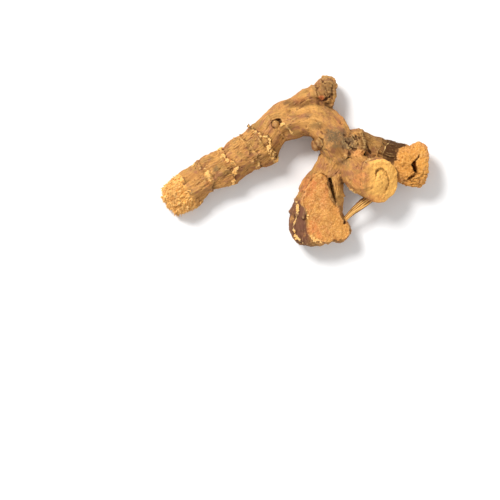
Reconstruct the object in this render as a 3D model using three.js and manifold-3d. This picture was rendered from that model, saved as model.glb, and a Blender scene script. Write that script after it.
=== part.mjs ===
// One dried, forked piece of lesser galangal rhizome, lying on a table as it would by itself.
// Millimetres, +Z up. The table is z = 0 and the origin is under the middle of the outline.
// The stem runs from a fibrous cut end, through a bend, to a knot. Four shorter limbs leave it: a gnarled
// crown stub at the bend, and a cut, a peeled and a split branch at the knot. A dried rootlet hangs on
// between the cut and the peeled branch.
import * as THREE from "three";
import { mergeVertices } from "three/addons/utils/BufferGeometryUtils.js";
import Module from "manifold-3d";

const wasm = await Module();
wasm.setup();

const OUTLINE_MIDDLE = [-0.1, -0.25]; // middle of the outline in the stations' own frame
const GAP = 0.35; // clear space left between a limb and the one it grows from
const ROW_STEP = 2.1; // length of a facet along a limb
const FURROW = 0.7; // depth of the furrows that drying leaves along a limb
const LUMP = 0.6; // height of the uneven swelling of every limb
const FULL_RELIEF_RADIUS = 4; // thinner limbs have their relief scaled down
const RING_ROWS = [-1.4, -0.4, 0, 0.45, 1.3]; // rows that draw a ring's ledge, from its crest
const RING_SPREAD = 2.2; // how far along a limb a ring's wave bends the rows beside it
const LEDGE_RISE = 0.9; // how fast a ledge swells up to its crest
const LEDGE_DROP = 0.45; // how far past its crest a ledge has dropped
const FACE_SHARES = [0, 0.35, 0.65, 0.92]; // rows of an end face, as shares of the girth
const FACE_REACH = 2.5; // how far along a limb the slope of its end face carries
const TOOL_HEIGHT = 20; // cutting tools reach this far up, clear of every limb

// A station is [x, y, z, wide, high]: the middle of the limb there, and its size across and upwards.
// A ring is [along, height, wave, phase]: where an old leaf scale stood, how proud its ledge is, how far
// the ledge wanders along the limb, and where in its turn that wander starts.
// A bump is [along, turn, height, reach]: a swelling, or a dent below zero. Turn 0 is the limb's right
// side, seen from its start, and 0.25 is its top.
// An end has a bevel, the slope of its face, a dome, how far its middle stands out, and a roughness.
const HIDDEN_END = { bevel: 0, dome: 0, rough: 0 };

const STEM = {
  sides: 26,
  seed: 1,
  start: { bevel: -0.45, dome: 1.8, rough: 0.8 },
  end: { bevel: 0, dome: 2.5, rough: 0.3 },
  stations: [
    [-39.4, -12.4, 4.4, 10.2, 9.4],
    [-34.4, -9.3, 4.8, 11.2, 10.6],
    [-28.5, -5.4, 5.4, 10.8, 10.4],
    [-23.3, -2.6, 5.9, 10.9, 10.7],
    [-18.7, 0.0, 6.1, 10.8, 10.9],
    [-13.7, 3.0, 6.3, 11.6, 11.4],
    [-9.5, 6.1, 6.5, 12.4, 12.0],
    [-5.8, 10.7, 6.9, 11.0, 11.4],
    [-1.5, 12.0, 7.4, 10.6, 11.0],
    [2.8, 12.9, 7.8, 10.8, 11.2],
    [7.4, 11.8, 8.0, 11.4, 11.6],
    [11.2, 8.4, 8.0, 11.8, 12.6],
    [14.2, 4.0, 7.8, 12.4, 13.4],
    [16.0, 0.2, 7.4, 11.2, 12.4],
  ],
  rings: [
    [13.2, 0.6, 0.9, 0.62],
    [21.6, 0.55, 1.6, 0.55],
    [29.2, 0.55, 0.9, 0.7],
    [34.6, 0.95, 0.7, 0.6],
    [41.0, 0.4, 0.6, 0.6],
  ],
  bumps: [
    [6.5, 0.02, 0.5, 2.6],
    [19.6, 0.02, 0.6, 1.8],
    [16.0, 0.45, 0.4, 2.2],
    [31.2, 0, 1.6, 2.2],
    [30.0, 0.3, 0.5, 2.2],
    [24.5, 0.3, -0.5, 2.4],
    [36.8, 0.5, 0.4, 2.0],
    [37.4, 0.98, -1.5, 2.2],
    [44.5, 0.22, 0.5, 3.0],
    [53.0, 0.45, 0.7, 3.0],
    [58.0, 0.2, -0.6, 1.8],
    [61.5, 0.33, 1.2, 2.2],
    [63.5, 0.15, 0.9, 2.0],
    [60.0, 0.55, 1.0, 2.4],
    [61.0, 0.8, 0.9, 3.0],
    [50.0, 0.75, 0.6, 4.0],
  ],
};
// The upper lobe carries the stem straight on beside the bend, as far as the crown stub's collar.
const LOBE = {
  sides: 18,
  seed: 4,
  start: HIDDEN_END,
  end: { bevel: 0, dome: 0.8, rough: 0.3 },
  stations: [
    [-11.0, 8.6, 6.6, 6.0, 7.0],
    [-5.2, 13.0, 6.8, 8.4, 8.8],
    [0.0, 16.6, 7.0, 8.0, 8.8],
    [3.5, 19.3, 6.8, 7.6, 8.5],
    [6.6, 20.1, 6.4, 8.6, 8.2],
  ],
  rings: [[18.6, 0.3, 0.3, 0.3]],
  bumps: [],
};
// A small round nub in the crook of the bend.
const NUB = {
  sides: 10,
  seed: 5,
  start: HIDDEN_END,
  end: { bevel: 0, dome: 1.0, rough: 0.1 },
  stations: [
    [11.5, 5.8, 7.8, 3.8, 4.0],
    [8.8, 5.1, 8.4, 3.9, 4.0],
    [6.7, 4.9, 8.6, 3.3, 3.5],
  ],
  rings: [],
  bumps: [],
};
// The dent of an old bud on the stem, with the bud still in it.
const BUD_DENT = { x: -6.1, y: 11.2, z: 12.6, radius: 1.7 };
const BUD = { x: -6.4, y: 10.9, z: 11.7, radius: 0.95 };

const CROWN_STUB = {
  sides: 20,
  seed: 7,
  start: HIDDEN_END,
  end: { bevel: 0, dome: 0.4, rough: 1.0 },
  stations: [
    [3.4, 19.8, 6.6, 5.0, 6.6],
    [6.6, 21.0, 6.3, 7.0, 8.4],
    [9.6, 21.2, 5.6, 11.4, 9.8],
    [11.6, 21.0, 5.0, 11.6, 9.2],
  ],
  rings: [[3.4, 0.5, 0.4, 0.2]],
  bumps: [
    [4.8, 0.25, 0.8, 1.2],
    [5.8, 0.42, 0.5, 1.2],
    [5.2, 0.0, 0.7, 1.4],
    [6.4, 0.12, -0.9, 1.0],
    [4.0, 0.36, -0.6, 0.9],
  ],
};

const SPLIT_BRANCH = {
  sides: 24,
  seed: 13,
  start: HIDDEN_END,
  end: { bevel: 0.35, dome: 1.4, rough: 0.6 },
  stations: [
    [14.6, 2.6, 7.6, 10.6, 11.0],
    [20.0, 4.4, 7.4, 10.8, 10.8],
    [24.6, 3.4, 6.8, 9.6, 9.4],
    [28.8, 1.9, 6.4, 8.8, 8.8],
    [32.2, 0.4, 5.9, 10.8, 10.6],
    [35.4, -1.1, 5.7, 14.2, 12.2],
    [38.2, -1.6, 5.7, 15.0, 12.2],
    [40.6, -1.8, 5.8, 14.0, 10.8],
  ],
  rings: [
    [6.6, 0.9, 0.5, 0.15],
    [12.4, 0.5, 0.4, 0.6],
  ],
  bumps: [
    [4.8, 0.4, 0.8, 1.5],
    [5.6, 0.2, 0.5, 1.5],
    [20.0, 0.25, 0.6, 2.2],
    [26.0, 0.45, 0.7, 2.0],
  ],
};
// The crack across the knob, from its right shoulder round the tongue to its lower edge.
const KNOB_CRACK = [
  [39.7, 1.4],
  [38.5, -0.6],
  [38.5, -2.0],
  [39.1, -3.4],
  [38.7, -5.0],
  [37.2, -6.0],
  [34.0, -7.6],
  [37.0, -5.1],
  [38.1, -4.1],
  [37.1, -1.7],
  [38.0, -0.3],
];
const KNOB_CRACK_FLOOR = 7.5;

const PEELED_BRANCH = {
  sides: 24,
  seed: 21,
  start: HIDDEN_END,
  end: { bevel: 0.1, dome: 1.6, rough: 0.6 },
  stations: [
    [14.0, 3.2, 7.4, 10.4, 11.0],
    [12.0, -1.8, 7.1, 10.2, 11.6],
    [9.8, -6.8, 6.8, 11.6, 12.4],
    [8.4, -12.2, 6.2, 13.6, 12.8],
    [7.2, -17.3, 5.7, 16.8, 12.6],
    [7.2, -22.1, 5.5, 18.6, 12.0],
    [7.8, -25.9, 5.3, 15.6, 10.2],
  ],
  rings: [
    [14.6, 0.5, 0.9, 0.35],
    [22.6, 0.7, 1.1, 0.85],
  ],
  bumps: [[27.0, 0.5, 0.6, 2.5]],
};
// The round foot that bulges out on the right of the peeled branch's end.
const FOOT = {
  sides: 16,
  seed: 23,
  start: HIDDEN_END,
  end: { bevel: 0, dome: 1.6, rough: 0.2 },
  stations: [
    [8.0, -20.8, 6.2, 8.0, 9.0],
    [12.8, -22.2, 6.0, 9.0, 9.2],
    [16.2, -22.7, 5.8, 6.6, 8.0],
  ],
  rings: [],
  bumps: [],
};
// The peel: a knife took off the top of the branch inside this outline, down to a leaning plane.
const PEEL_OUTLINE = [
  [6.4, -4.8],
  [2.4, -7.2],
  [1.7, -11.0],
  [2.9, -14.6],
  [3.4, -19.0],
  [4.2, -23.4],
  [6.8, -26.2],
  [13.0, -26.2],
  [17.2, -24.6],
  [18.8, -21.6],
  [17.0, -18.4],
  [14.8, -18.4],
  [12.6, -14.6],
  [10.8, -11.0],
  [10.6, -7.6],
  [9.0, -4.6],
];
const PEEL_PLANE = { x: 8, y: -14, z: 10.5, fallsRight: 0.1, fallsDown: 0.05 };
// The slit between the peeled face and the strip of skin left standing beside it.
const STRIP_SLIT = [
  [10.5, -5.6],
  [10.8, -8.0],
  [11.6, -11.4],
  [13.2, -14.8],
  [13.0, -12.0],
  [12.2, -8.6],
  [11.4, -6.2],
];
const STRIP_SLIT_FLOOR = 6.5;

const CUT_BRANCH = {
  sides: 24,
  seed: 34,
  start: HIDDEN_END,
  end: { bevel: 0, dome: 1.0, rough: 0.2 },
  stations: [
    [14.8, 2.8, 7.6, 11.0, 11.4],
    [18.6, -1.4, 8.2, 11.8, 12.0],
    [22.4, -4.9, 9.6, 13.2, 12.6],
    [25.5, -6.3, 12.0, 13.8, 13.6],
    [26.8, -6.9, 14.2, 13.8, 13.6],
  ],
  rings: [],
  bumps: [
    [9.0, 0.15, 0.5, 2.4],
    [12.0, 0.6, 0.5, 2.4],
  ],
};
// The arch of an old shoot's scar, grooved into the cut branch's face.
const SHOOT_SCAR = {
  sides: 6,
  seed: 61,
  start: HIDDEN_END,
  end: HIDDEN_END,
  stations: [
    [25.4, -5.8, 16.1, 0.8, 1.4],
    [25.9, -3.8, 16.5, 0.9, 1.8],
    [27.2, -3.1, 15.9, 0.7, 1.6],
    [28.7, -4.3, 14.7, 0.6, 1.4],
    [29.6, -6.6, 13.5, 0.6, 1.4],
    [29.5, -8.6, 12.9, 0.5, 1.2],
  ],
  rings: [],
  bumps: [],
};

const ROOTLET = {
  sides: 8,
  seed: 55,
  start: { bevel: 0, dome: 0, rough: 0.1 },
  end: { bevel: 0, dome: 0, rough: 0.3 },
  stations: [
    [24.8, -11.6, 7.2, 3.0, 1.0],
    [22.2, -13.6, 7.6, 2.8, 1.0],
    [18.6, -16.4, 7.2, 2.0, 0.9],
    [15.6, -19.4, 6.6, 1.3, 0.8],
  ],
  rings: [],
  bumps: [],
};

// A repeatable value from -1 to 1 for a whole-numbered cell.
function hash(x, y, z) {
  let n = Math.imul(x, 374761393) ^ Math.imul(y, 668265263) ^ Math.imul(z, 2085393857);
  n = Math.imul(n ^ (n >>> 13), 1274126177);
  return ((n ^ (n >>> 16)) >>> 0) / 2147483648 - 1;
}

// Smooth noise from -1 to 1 on a lattice of unit cells, the same in every run.
function noise(x, y, z) {
  const cell = [x, y, z].map(Math.floor);
  const [u, v, w] = [x, y, z].map((value, i) => {
    const part = value - cell[i];
    return part * part * (3 - 2 * part);
  });
  let sum = 0;
  for (let corner = 0; corner < 8; corner++) {
    const [i, j, k] = [corner & 1, (corner >> 1) & 1, corner >> 2];
    const weight = (i ? u : 1 - u) * (j ? v : 1 - v) * (k ? w : 1 - w);
    sum += weight * hash(cell[0] + i, cell[1] + j, cell[2] + k);
  }
  return sum;
}

// How far a ring wanders along the limb at a turn from 0 to 1 round it.
function ringWave([, , wave, phase], turn) {
  const slow = Math.sin(2 * Math.PI * (turn + phase));
  const quick = Math.sin(2 * Math.PI * (4 * turn + 3 * phase));
  return wave * (0.7 * slow + 0.3 * quick);
}

// A ring's ledge swells up to its crest, drops sharply past it, and leaves a shallow groove.
function ledge(past) {
  if (past < 0) return Math.exp(past / LEDGE_RISE);
  const groove = -0.3;
  if (past < LEDGE_DROP) return 1 + ((groove - 1) * past) / LEDGE_DROP;
  return groove * Math.exp((LEDGE_DROP - past) / LEDGE_RISE);
}

// How far the skin of a limb stands out from its plain girth, at s along it and a turn round it.
function skinRelief(limb, s, turn, middle, radius) {
  const [c, d] = [Math.cos(2 * Math.PI * turn), Math.sin(2 * Math.PI * turn)];
  const coarse = noise(0.09 * s, 1.9 * c + limb.seed, 1.9 * d);
  const fine = noise(0.13 * s, 4 * c, 4 * d + limb.seed);
  const lump = noise(0.2 * middle.x + c, 0.2 * middle.y + d, limb.seed + 0.7 * d);
  let relief = FURROW * (coarse + 0.5 * fine) + LUMP * lump;
  for (const ring of limb.rings) {
    const [along, height] = ring;
    const ragged = 0.75 + 0.45 * noise(5 * c, 5 * d, along + limb.seed);
    relief += height * ragged * ledge(s - along);
  }
  for (const [along, where, height, reach] of limb.bumps) {
    const round = (((turn - where + 1.5) % 1) - 0.5) * 2 * Math.PI * radius;
    relief += height * Math.exp(-((s - along) ** 2 + round ** 2) / reach ** 2);
  }
  return relief * Math.min(1, radius / FULL_RELIEF_RADIUS);
}

// How far an end's face stands out at a point of it: its slope, its dome and its grain.
function endFace(end, share, across, height, seed) {
  const grain = noise(0.7 * across + seed, 0.7 * height, 9.5);
  return end.bevel * height + end.dome * (1 - share * share) + end.rough * grain;
}

// The rows of a limb from end to end: how far along, and how much of the full girth.
function limbRows(limb, length) {
  const rim = 0.6;
  const along = limb.rings.flatMap(([at]) => RING_ROWS.map((step) => at + step));
  const count = Math.round(length / ROW_STEP);
  for (let i = 1; i < count; i++) {
    const s = (i * length) / count;
    if (along.every((other) => Math.abs(other - s) > 0.6 * ROW_STEP)) along.push(s);
  }
  along.push(rim, length - rim);
  along.sort((a, b) => a - b);
  return [
    ...FACE_SHARES.map((share) => [0, share]),
    ...along.filter((s) => s > rim / 2 && s < length - rim / 2).map((s) => [s, 1]),
    ...FACE_SHARES.map((share) => [length, share]).reverse(),
  ];
}

// A limb as one closed solid: a sphere's rows and columns, moved onto a tube along the stations.
function limbSolid(limb, grow = 0) {
  const spine = new THREE.CatmullRomCurve3(limb.stations.map(([x, y, z]) => new THREE.Vector3(x, y, z)));
  const girth = new THREE.CatmullRomCurve3(
    limb.stations.map(([, , , wide, high]) => new THREE.Vector3(wide / 2, high / 2, 0)),
  );
  const length = spine.getLength();
  const rows = limbRows(limb, length);
  const geometry = new THREE.SphereGeometry(1, limb.sides, rows.length - 1);
  const position = geometry.attributes.position;
  const up = new THREE.Vector3(0, 0, 1);
  for (let row = 0; row < rows.length; row++) {
    const [s, share] = rows[row];
    const fromStart = Math.exp(-s / FACE_REACH);
    const fromEnd = Math.exp((s - length) / FACE_REACH);
    for (let column = 0; column <= limb.sides; column++) {
      const turn = (column % limb.sides) / limb.sides;
      let shift = 0;
      for (const ring of limb.rings) shift += ringWave(ring, turn) * Math.exp(-(((s - ring[0]) / RING_SPREAD) ** 2));
      shift *= Math.min(1, s / RING_SPREAD, (length - s) / RING_SPREAD);
      const t = spine.getUtoTmapping(THREE.MathUtils.clamp((s + shift) / length, 0, 1));
      const middle = spine.getPoint(t);
      const tangent = spine.getTangent(t);
      const side = new THREE.Vector3().crossVectors(tangent, up).normalize();
      const top = new THREE.Vector3().crossVectors(side, tangent);
      const size = girth.getPoint(t);
      const relief = skinRelief(limb, s, turn, middle, size.x) + grow;
      const across = share * Math.cos(2 * Math.PI * turn) * (size.x + relief);
      const height = share * Math.sin(2 * Math.PI * turn) * (size.y + relief);
      const outward =
        (endFace(limb.end, share, across, height, limb.seed) + grow) * fromEnd -
        (endFace(limb.start, share, across, height, limb.seed) + grow) * fromStart;
      const point = middle.addScaledVector(side, across).addScaledVector(top, height).addScaledVector(tangent, outward);
      position.setXYZ(row * (limb.sides + 1) + column, point.x, point.y, point.z);
    }
  }
  return solidOf(geometry);
}

// A three.js geometry as a solid that can be joined and cut.
function solidOf(geometry) {
  const bare = geometry.clone();
  bare.deleteAttribute("normal");
  bare.deleteAttribute("uv");
  const merged = mergeVertices(bare, 1e-4);
  const mesh = new wasm.Mesh({
    numProp: 3,
    vertProperties: merged.attributes.position.array,
    triVerts: new Uint32Array(merged.index.array),
  });
  mesh.merge();
  return new wasm.Manifold(mesh);
}

function ball({ x, y, z, radius }) {
  return solidOf(new THREE.SphereGeometry(radius, 14, 9).translate(x, y, z));
}

// An upright tool whose plan is a smooth closed curve through the outline's points.
function uprightTool(outline, pointsPerSide) {
  const edge = new THREE.SplineCurve([...outline, outline[0]].map(([x, y]) => new THREE.Vector2(x, y)));
  const shape = new THREE.Shape(edge.getPoints(pointsPerSide * outline.length));
  return new THREE.ExtrudeGeometry(shape, { depth: TOOL_HEIGHT, bevelEnabled: false });
}

function slot(outline, floor) {
  return solidOf(uprightTool(outline, 2).translate(0, 0, floor));
}

function peelTool() {
  const geometry = uprightTool(PEEL_OUTLINE, 3);
  const position = geometry.attributes.position;
  for (let i = 0; i < position.count; i++) {
    const right = position.getX(i) - PEEL_PLANE.x;
    const down = PEEL_PLANE.y - position.getY(i);
    const floor = PEEL_PLANE.z - PEEL_PLANE.fallsRight * right - PEEL_PLANE.fallsDown * down;
    position.setZ(i, position.getZ(i) + floor);
  }
  return solidOf(geometry);
}

// The largest body of a solid, without the slivers that a cut may leave beside it.
function mainBody(solid) {
  const bodies = solid.decompose();
  return bodies.reduce((best, body) => (body.volume() > best.volume() ? body : best), bodies[0]);
}

const table = solidOf(new THREE.BoxGeometry(120, 120, 40).translate(0, 0, -20));

// A limb cut level with the table, as a named mesh.
function meshOf(name, solid, colour) {
  const made = mainBody(solid.subtract(table)).getMesh();
  const geometry = new THREE.BufferGeometry();
  geometry.setAttribute("position", new THREE.BufferAttribute(new Float32Array(made.vertProperties), 3));
  geometry.setIndex(new THREE.BufferAttribute(new Uint32Array(made.triVerts), 1));
  geometry.computeVertexNormals();
  const material = new THREE.MeshStandardMaterial({ color: colour, roughness: 0.9, metalness: 0, flatShading: true });
  const mesh = new THREE.Mesh(geometry, material);
  mesh.name = name;
  return mesh;
}

const stem = limbSolid(STEM).add(limbSolid(LOBE)).add(limbSolid(NUB)).subtract(ball(BUD_DENT)).add(ball(BUD));
const stemRoom = limbSolid(STEM, GAP).add(limbSolid(LOBE, GAP));
const crown = limbSolid(CROWN_STUB).subtract(stemRoom);
const split = limbSolid(SPLIT_BRANCH).subtract(stemRoom).subtract(slot(KNOB_CRACK, KNOB_CRACK_FLOOR));
const forkRoom = stemRoom.add(limbSolid(SPLIT_BRANCH, GAP));
const peeled = limbSolid(PEELED_BRANCH)
  .add(limbSolid(FOOT))
  .subtract(peelTool())
  .subtract(slot(STRIP_SLIT, STRIP_SLIT_FLOOR))
  .subtract(forkRoom);
const peeledRoom = limbSolid(PEELED_BRANCH, GAP);
const cut = limbSolid(CUT_BRANCH).subtract(limbSolid(SHOOT_SCAR)).subtract(forkRoom).subtract(peeledRoom);
const rootlet = limbSolid(ROOTLET).subtract(limbSolid(CUT_BRANCH, GAP)).subtract(peeledRoom);

const root = new THREE.Group();
root.position.set(-OUTLINE_MIDDLE[0], -OUTLINE_MIDDLE[1], 0);
root.add(
  meshOf("stem", stem, 0xb98a55),
  meshOf("crown_stub", crown, 0x9c7648),
  meshOf("split_branch", split, 0xc08a4e),
  meshOf("peeled_branch", peeled, 0xd09a5c),
  meshOf("cut_branch", cut, 0xd8a564),
  meshOf("rootlet", rootlet, 0xc9a070),
);

export default root;
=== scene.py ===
"""Dresses a forked piece of dried lesser galangal rhizome with bark, flesh and fibres, and lights it."""
import math
from collections import namedtuple

import bmesh
import bpy
import numpy as np
from bpy.props import FloatProperty, FloatVectorProperty, IntProperty, PointerProperty
from bpy.types import Operator, Panel, PropertyGroup
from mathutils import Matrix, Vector


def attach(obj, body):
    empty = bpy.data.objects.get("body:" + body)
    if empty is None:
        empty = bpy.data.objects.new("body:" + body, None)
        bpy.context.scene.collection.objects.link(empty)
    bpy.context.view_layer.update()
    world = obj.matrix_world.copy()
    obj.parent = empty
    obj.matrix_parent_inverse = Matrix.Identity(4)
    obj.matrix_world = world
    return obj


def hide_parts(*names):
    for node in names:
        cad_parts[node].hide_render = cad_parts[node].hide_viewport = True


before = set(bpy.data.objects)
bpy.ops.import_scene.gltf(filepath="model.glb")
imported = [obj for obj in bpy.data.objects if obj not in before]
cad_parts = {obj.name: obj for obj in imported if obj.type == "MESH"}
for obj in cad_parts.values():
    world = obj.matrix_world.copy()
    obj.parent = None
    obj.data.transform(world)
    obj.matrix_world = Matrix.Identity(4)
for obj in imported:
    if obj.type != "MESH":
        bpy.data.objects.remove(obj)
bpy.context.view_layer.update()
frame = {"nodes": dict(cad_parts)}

bl_info = {
    "name": "Lesser galangal rhizome",
    "version": (1, 0, 0),
    "blender": (4, 5, 0),
    "location": "View3D > Sidebar > Rhizome",
    "description": "Dresses a forked, dried piece of lesser galangal rhizome and sets it on a pale table",
    "category": "Object",
}

MM = 0.001

# The photograph's scale in mm, its middle, and the pixel at which the limbs' own frame has its origin.
PIXEL = 0.32
PHOTO_MIDDLE = (250, 250)
ORIGIN_PIXEL = (295, 160)
# The limbs' own frame has its origin this far from the scene's. Lengths and places below are in mm.
LIMB_ORIGIN = np.array([0.1, 0.25, 0.0])
SAMPLE_STEP = 0.25
MEAN_RADIUS = 5.5
TABLE_GAP = 0.02

# How quickly one limb's bark gives way to the next one's, and how far apart their noises lie.
FORK_SHARPNESS = 14
NOISE_STEP = 40.0

# A station is (x, y, z, wide, high) in mm: the middle of the limb there, and its size across and upwards.
STATIONS = {
    "stem": (
        (-39.4, -12.4, 4.4, 10.2, 9.4),
        (-34.4, -9.3, 4.8, 11.2, 10.6),
        (-28.5, -5.4, 5.4, 10.8, 10.4),
        (-23.3, -2.6, 5.9, 10.9, 10.7),
        (-18.7, 0.0, 6.1, 10.8, 10.9),
        (-13.7, 3.0, 6.3, 11.6, 11.4),
        (-9.5, 6.1, 6.5, 12.4, 12.0),
        (-5.8, 10.7, 6.9, 11.0, 11.4),
        (-1.5, 12.0, 7.4, 10.6, 11.0),
        (2.8, 12.9, 7.8, 10.8, 11.2),
        (7.4, 11.8, 8.0, 11.4, 11.6),
        (11.2, 8.4, 8.0, 11.8, 12.6),
        (14.2, 4.0, 7.8, 12.4, 13.4),
        (16.0, 0.2, 7.4, 11.2, 12.4),
    ),
    "lobe": (
        (-11.0, 8.6, 6.6, 6.0, 7.0),
        (-5.2, 13.0, 6.8, 8.4, 8.8),
        (0.0, 16.6, 7.0, 8.0, 8.8),
        (3.5, 19.3, 6.8, 7.6, 8.5),
        (6.6, 20.1, 6.4, 8.6, 8.2),
    ),
    "crown_stub": (
        (3.4, 19.8, 6.6, 5.0, 6.6),
        (6.6, 21.0, 6.3, 7.0, 8.4),
        (9.6, 21.2, 5.6, 11.4, 9.8),
        (11.6, 21.0, 5.0, 11.6, 9.2),
    ),
    "split_branch": (
        (14.6, 2.6, 7.6, 10.6, 11.0),
        (20.0, 4.4, 7.4, 10.8, 10.8),
        (24.6, 3.4, 6.8, 9.6, 9.4),
        (28.8, 1.9, 6.4, 8.8, 8.8),
        (32.2, 0.4, 5.9, 10.8, 10.6),
        (35.4, -1.1, 5.7, 14.2, 12.2),
        (38.2, -1.6, 5.7, 15.0, 12.2),
        (40.6, -1.8, 5.8, 14.0, 10.8),
    ),
    "peeled_branch": (
        (14.0, 3.2, 7.4, 10.4, 11.0),
        (12.0, -1.8, 7.1, 10.2, 11.6),
        (9.8, -6.8, 6.8, 11.6, 12.4),
        (8.4, -12.2, 6.2, 13.6, 12.8),
        (7.2, -17.3, 5.7, 16.8, 12.6),
        (7.2, -22.1, 5.5, 18.6, 12.0),
        (7.8, -25.9, 5.3, 15.6, 10.2),
    ),
    "cut_branch": (
        (14.8, 2.8, 7.6, 11.0, 11.4),
        (18.6, -1.4, 8.2, 11.8, 12.0),
        (22.4, -4.9, 9.6, 13.2, 12.6),
        (25.5, -6.3, 12.0, 13.8, 13.6),
        (26.8, -6.9, 14.2, 13.8, 13.6),
    ),
}
# A station of the rootlet is (x, y, z, wide, thick).
ROOTLET = (
    (24.8, -11.6, 7.2, 3.0, 1.0),
    (22.2, -13.6, 7.6, 2.8, 1.0),
    (18.6, -16.4, 7.2, 2.0, 0.9),
    (15.6, -19.4, 6.6, 1.3, 0.8),
)

# A ring is where an old leaf scale stood: its (x, y) line across the top of its limb, how proud its torn edge
# is, and how much of that edge is left on the limb's upper side, from -1 for none to 1 for all.
Ring = namedtuple("Ring", "line height left")
RINGS = {
    "stem": (
        Ring(
            ((-32.3, -0.6), (-29.3, -1.9), (-27.5, -2.7), (-25.7, -4.7), (-25.3, -7.1), (-26.0, -9.4)),
            0.5,
            0.3,
        ),
        Ring(
            ((-22.9, 3.2), (-22.1, 1.5), (-20.1, -0.4), (-18.4, -2.2), (-19.0, -4.2), (-20.6, -7.9)),
            0.7,
            0.1,
        ),
        Ring(((-19.2, 8.6), (-16.7, 6.6), (-13.9, 4.6), (-12.6, 1.7), (-11.8, -0.9), (-11.0, -2.8)), 0.6, 0),
        Ring(((-14.6, 10.9), (-11.8, 8.9), (-9.2, 7.4), (-7.7, 4.3), (-6.4, 2.2), (-4.8, 0.2)), 1.3, 0.8),
    ),
    "lobe": (),
    "crown_stub": (),
    "split_branch": (Ring(((31.4, 6.0), (28.8, 4.5), (27.9, 2.0), (28.2, -1.5)), 0.25, -1),),
    "peeled_branch": (
        Ring(((1.6, -14.2), (8.0, -14.6), (14.0, -14.2)), 0.6, -1),
        Ring(((-1.0, -22.6), (8.0, -22.0), (17.0, -22.4)), 0.6, -1),
    ),
    "cut_branch": (),
}
# How deep each limb's bark is wrinkled, as a share of the wrinkle depth.
WRINKLED = {
    "stem": 1.0,
    "lobe": 0.45,
    "crown_stub": 0.6,
    "split_branch": 1.0,
    "peeled_branch": 0.8,
    "cut_branch": 0.15,
}
# A scar is where a root broke off: its limb, how far along it, its turn (0.25 is the top, -0.25 the belly),
# and its radius.
Scar = namedtuple("Scar", "limb along turn radius")
SCARS = (
    Scar("stem", 7.5, -0.22, 0.9),
    Scar("stem", 11.4, -0.34, 1.0),
    Scar("stem", 17.5, -0.17, 1.0),
    Scar("stem", 19.8, -0.36, 0.8),
    Scar("stem", 26.2, -0.27, 1.2),
    Scar("stem", 32.0, -0.15, 0.9),
    Scar("stem", 38.0, -0.33, 1.0),
    Scar("stem", 45.0, -0.22, 0.9),
    Scar("stem", 53.0, -0.3, 0.8),
    Scar("split_branch", 10.0, -0.3, 0.9),
    Scar("split_branch", 14.4, -0.16, 0.8),
    Scar("peeled_branch", 12.0, -0.2, 1.0),
    Scar("peeled_branch", 18.6, -0.24, 1.1),
    Scar("peeled_branch", 24.6, -0.22, 0.9),
)
SLOTS = {
    "stem": "skin",
    "crown_stub": "crown_skin",
    "split_branch": "split_flesh",
    "peeled_branch": "peeled_flesh",
    "cut_branch": "cut_flesh",
}
LIMB_NODES = tuple(SLOTS)
# Each limb is a node of its own, apart from the lobe, which is fused to the stem.
OWNER = {name: name for name in STATIONS}
OWNER["lobe"] = "stem"

# Outlines and lines are (x, y) in mm, in the limbs' own frame.
PEEL_OUTLINE = (
    (8.0, -4.0),
    (4.2, -5.6),
    (1.9, -8.5),
    (1.6, -10.7),
    (2.1, -13.8),
    (3.3, -15.6),
    (3.8, -19.0),
    (3.8, -21.6),
    (4.2, -23.5),
    (6.6, -25.7),
    (9.8, -26.5),
    (14.6, -26.3),
    (17.4, -24.4),
    (18.4, -22.1),
    (17.5, -19.9),
    (15.2, -18.9),
    (13.9, -15.6),
    (11.6, -12.8),
    (10.6, -9.3),
    (10.2, -5.8),
)
# The peeled plane passes (x, y) at a height, and falls this much a mm to the right and down the picture.
PEEL_PLANE = (8.0, -14.0, 10.5, 0.1, 0.05)
SLIT = ((10.4, -6.3), (10.9, -8.5), (11.6, -11.2), (12.9, -14.6))
SLIT_DEPTH = 2.3

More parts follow.
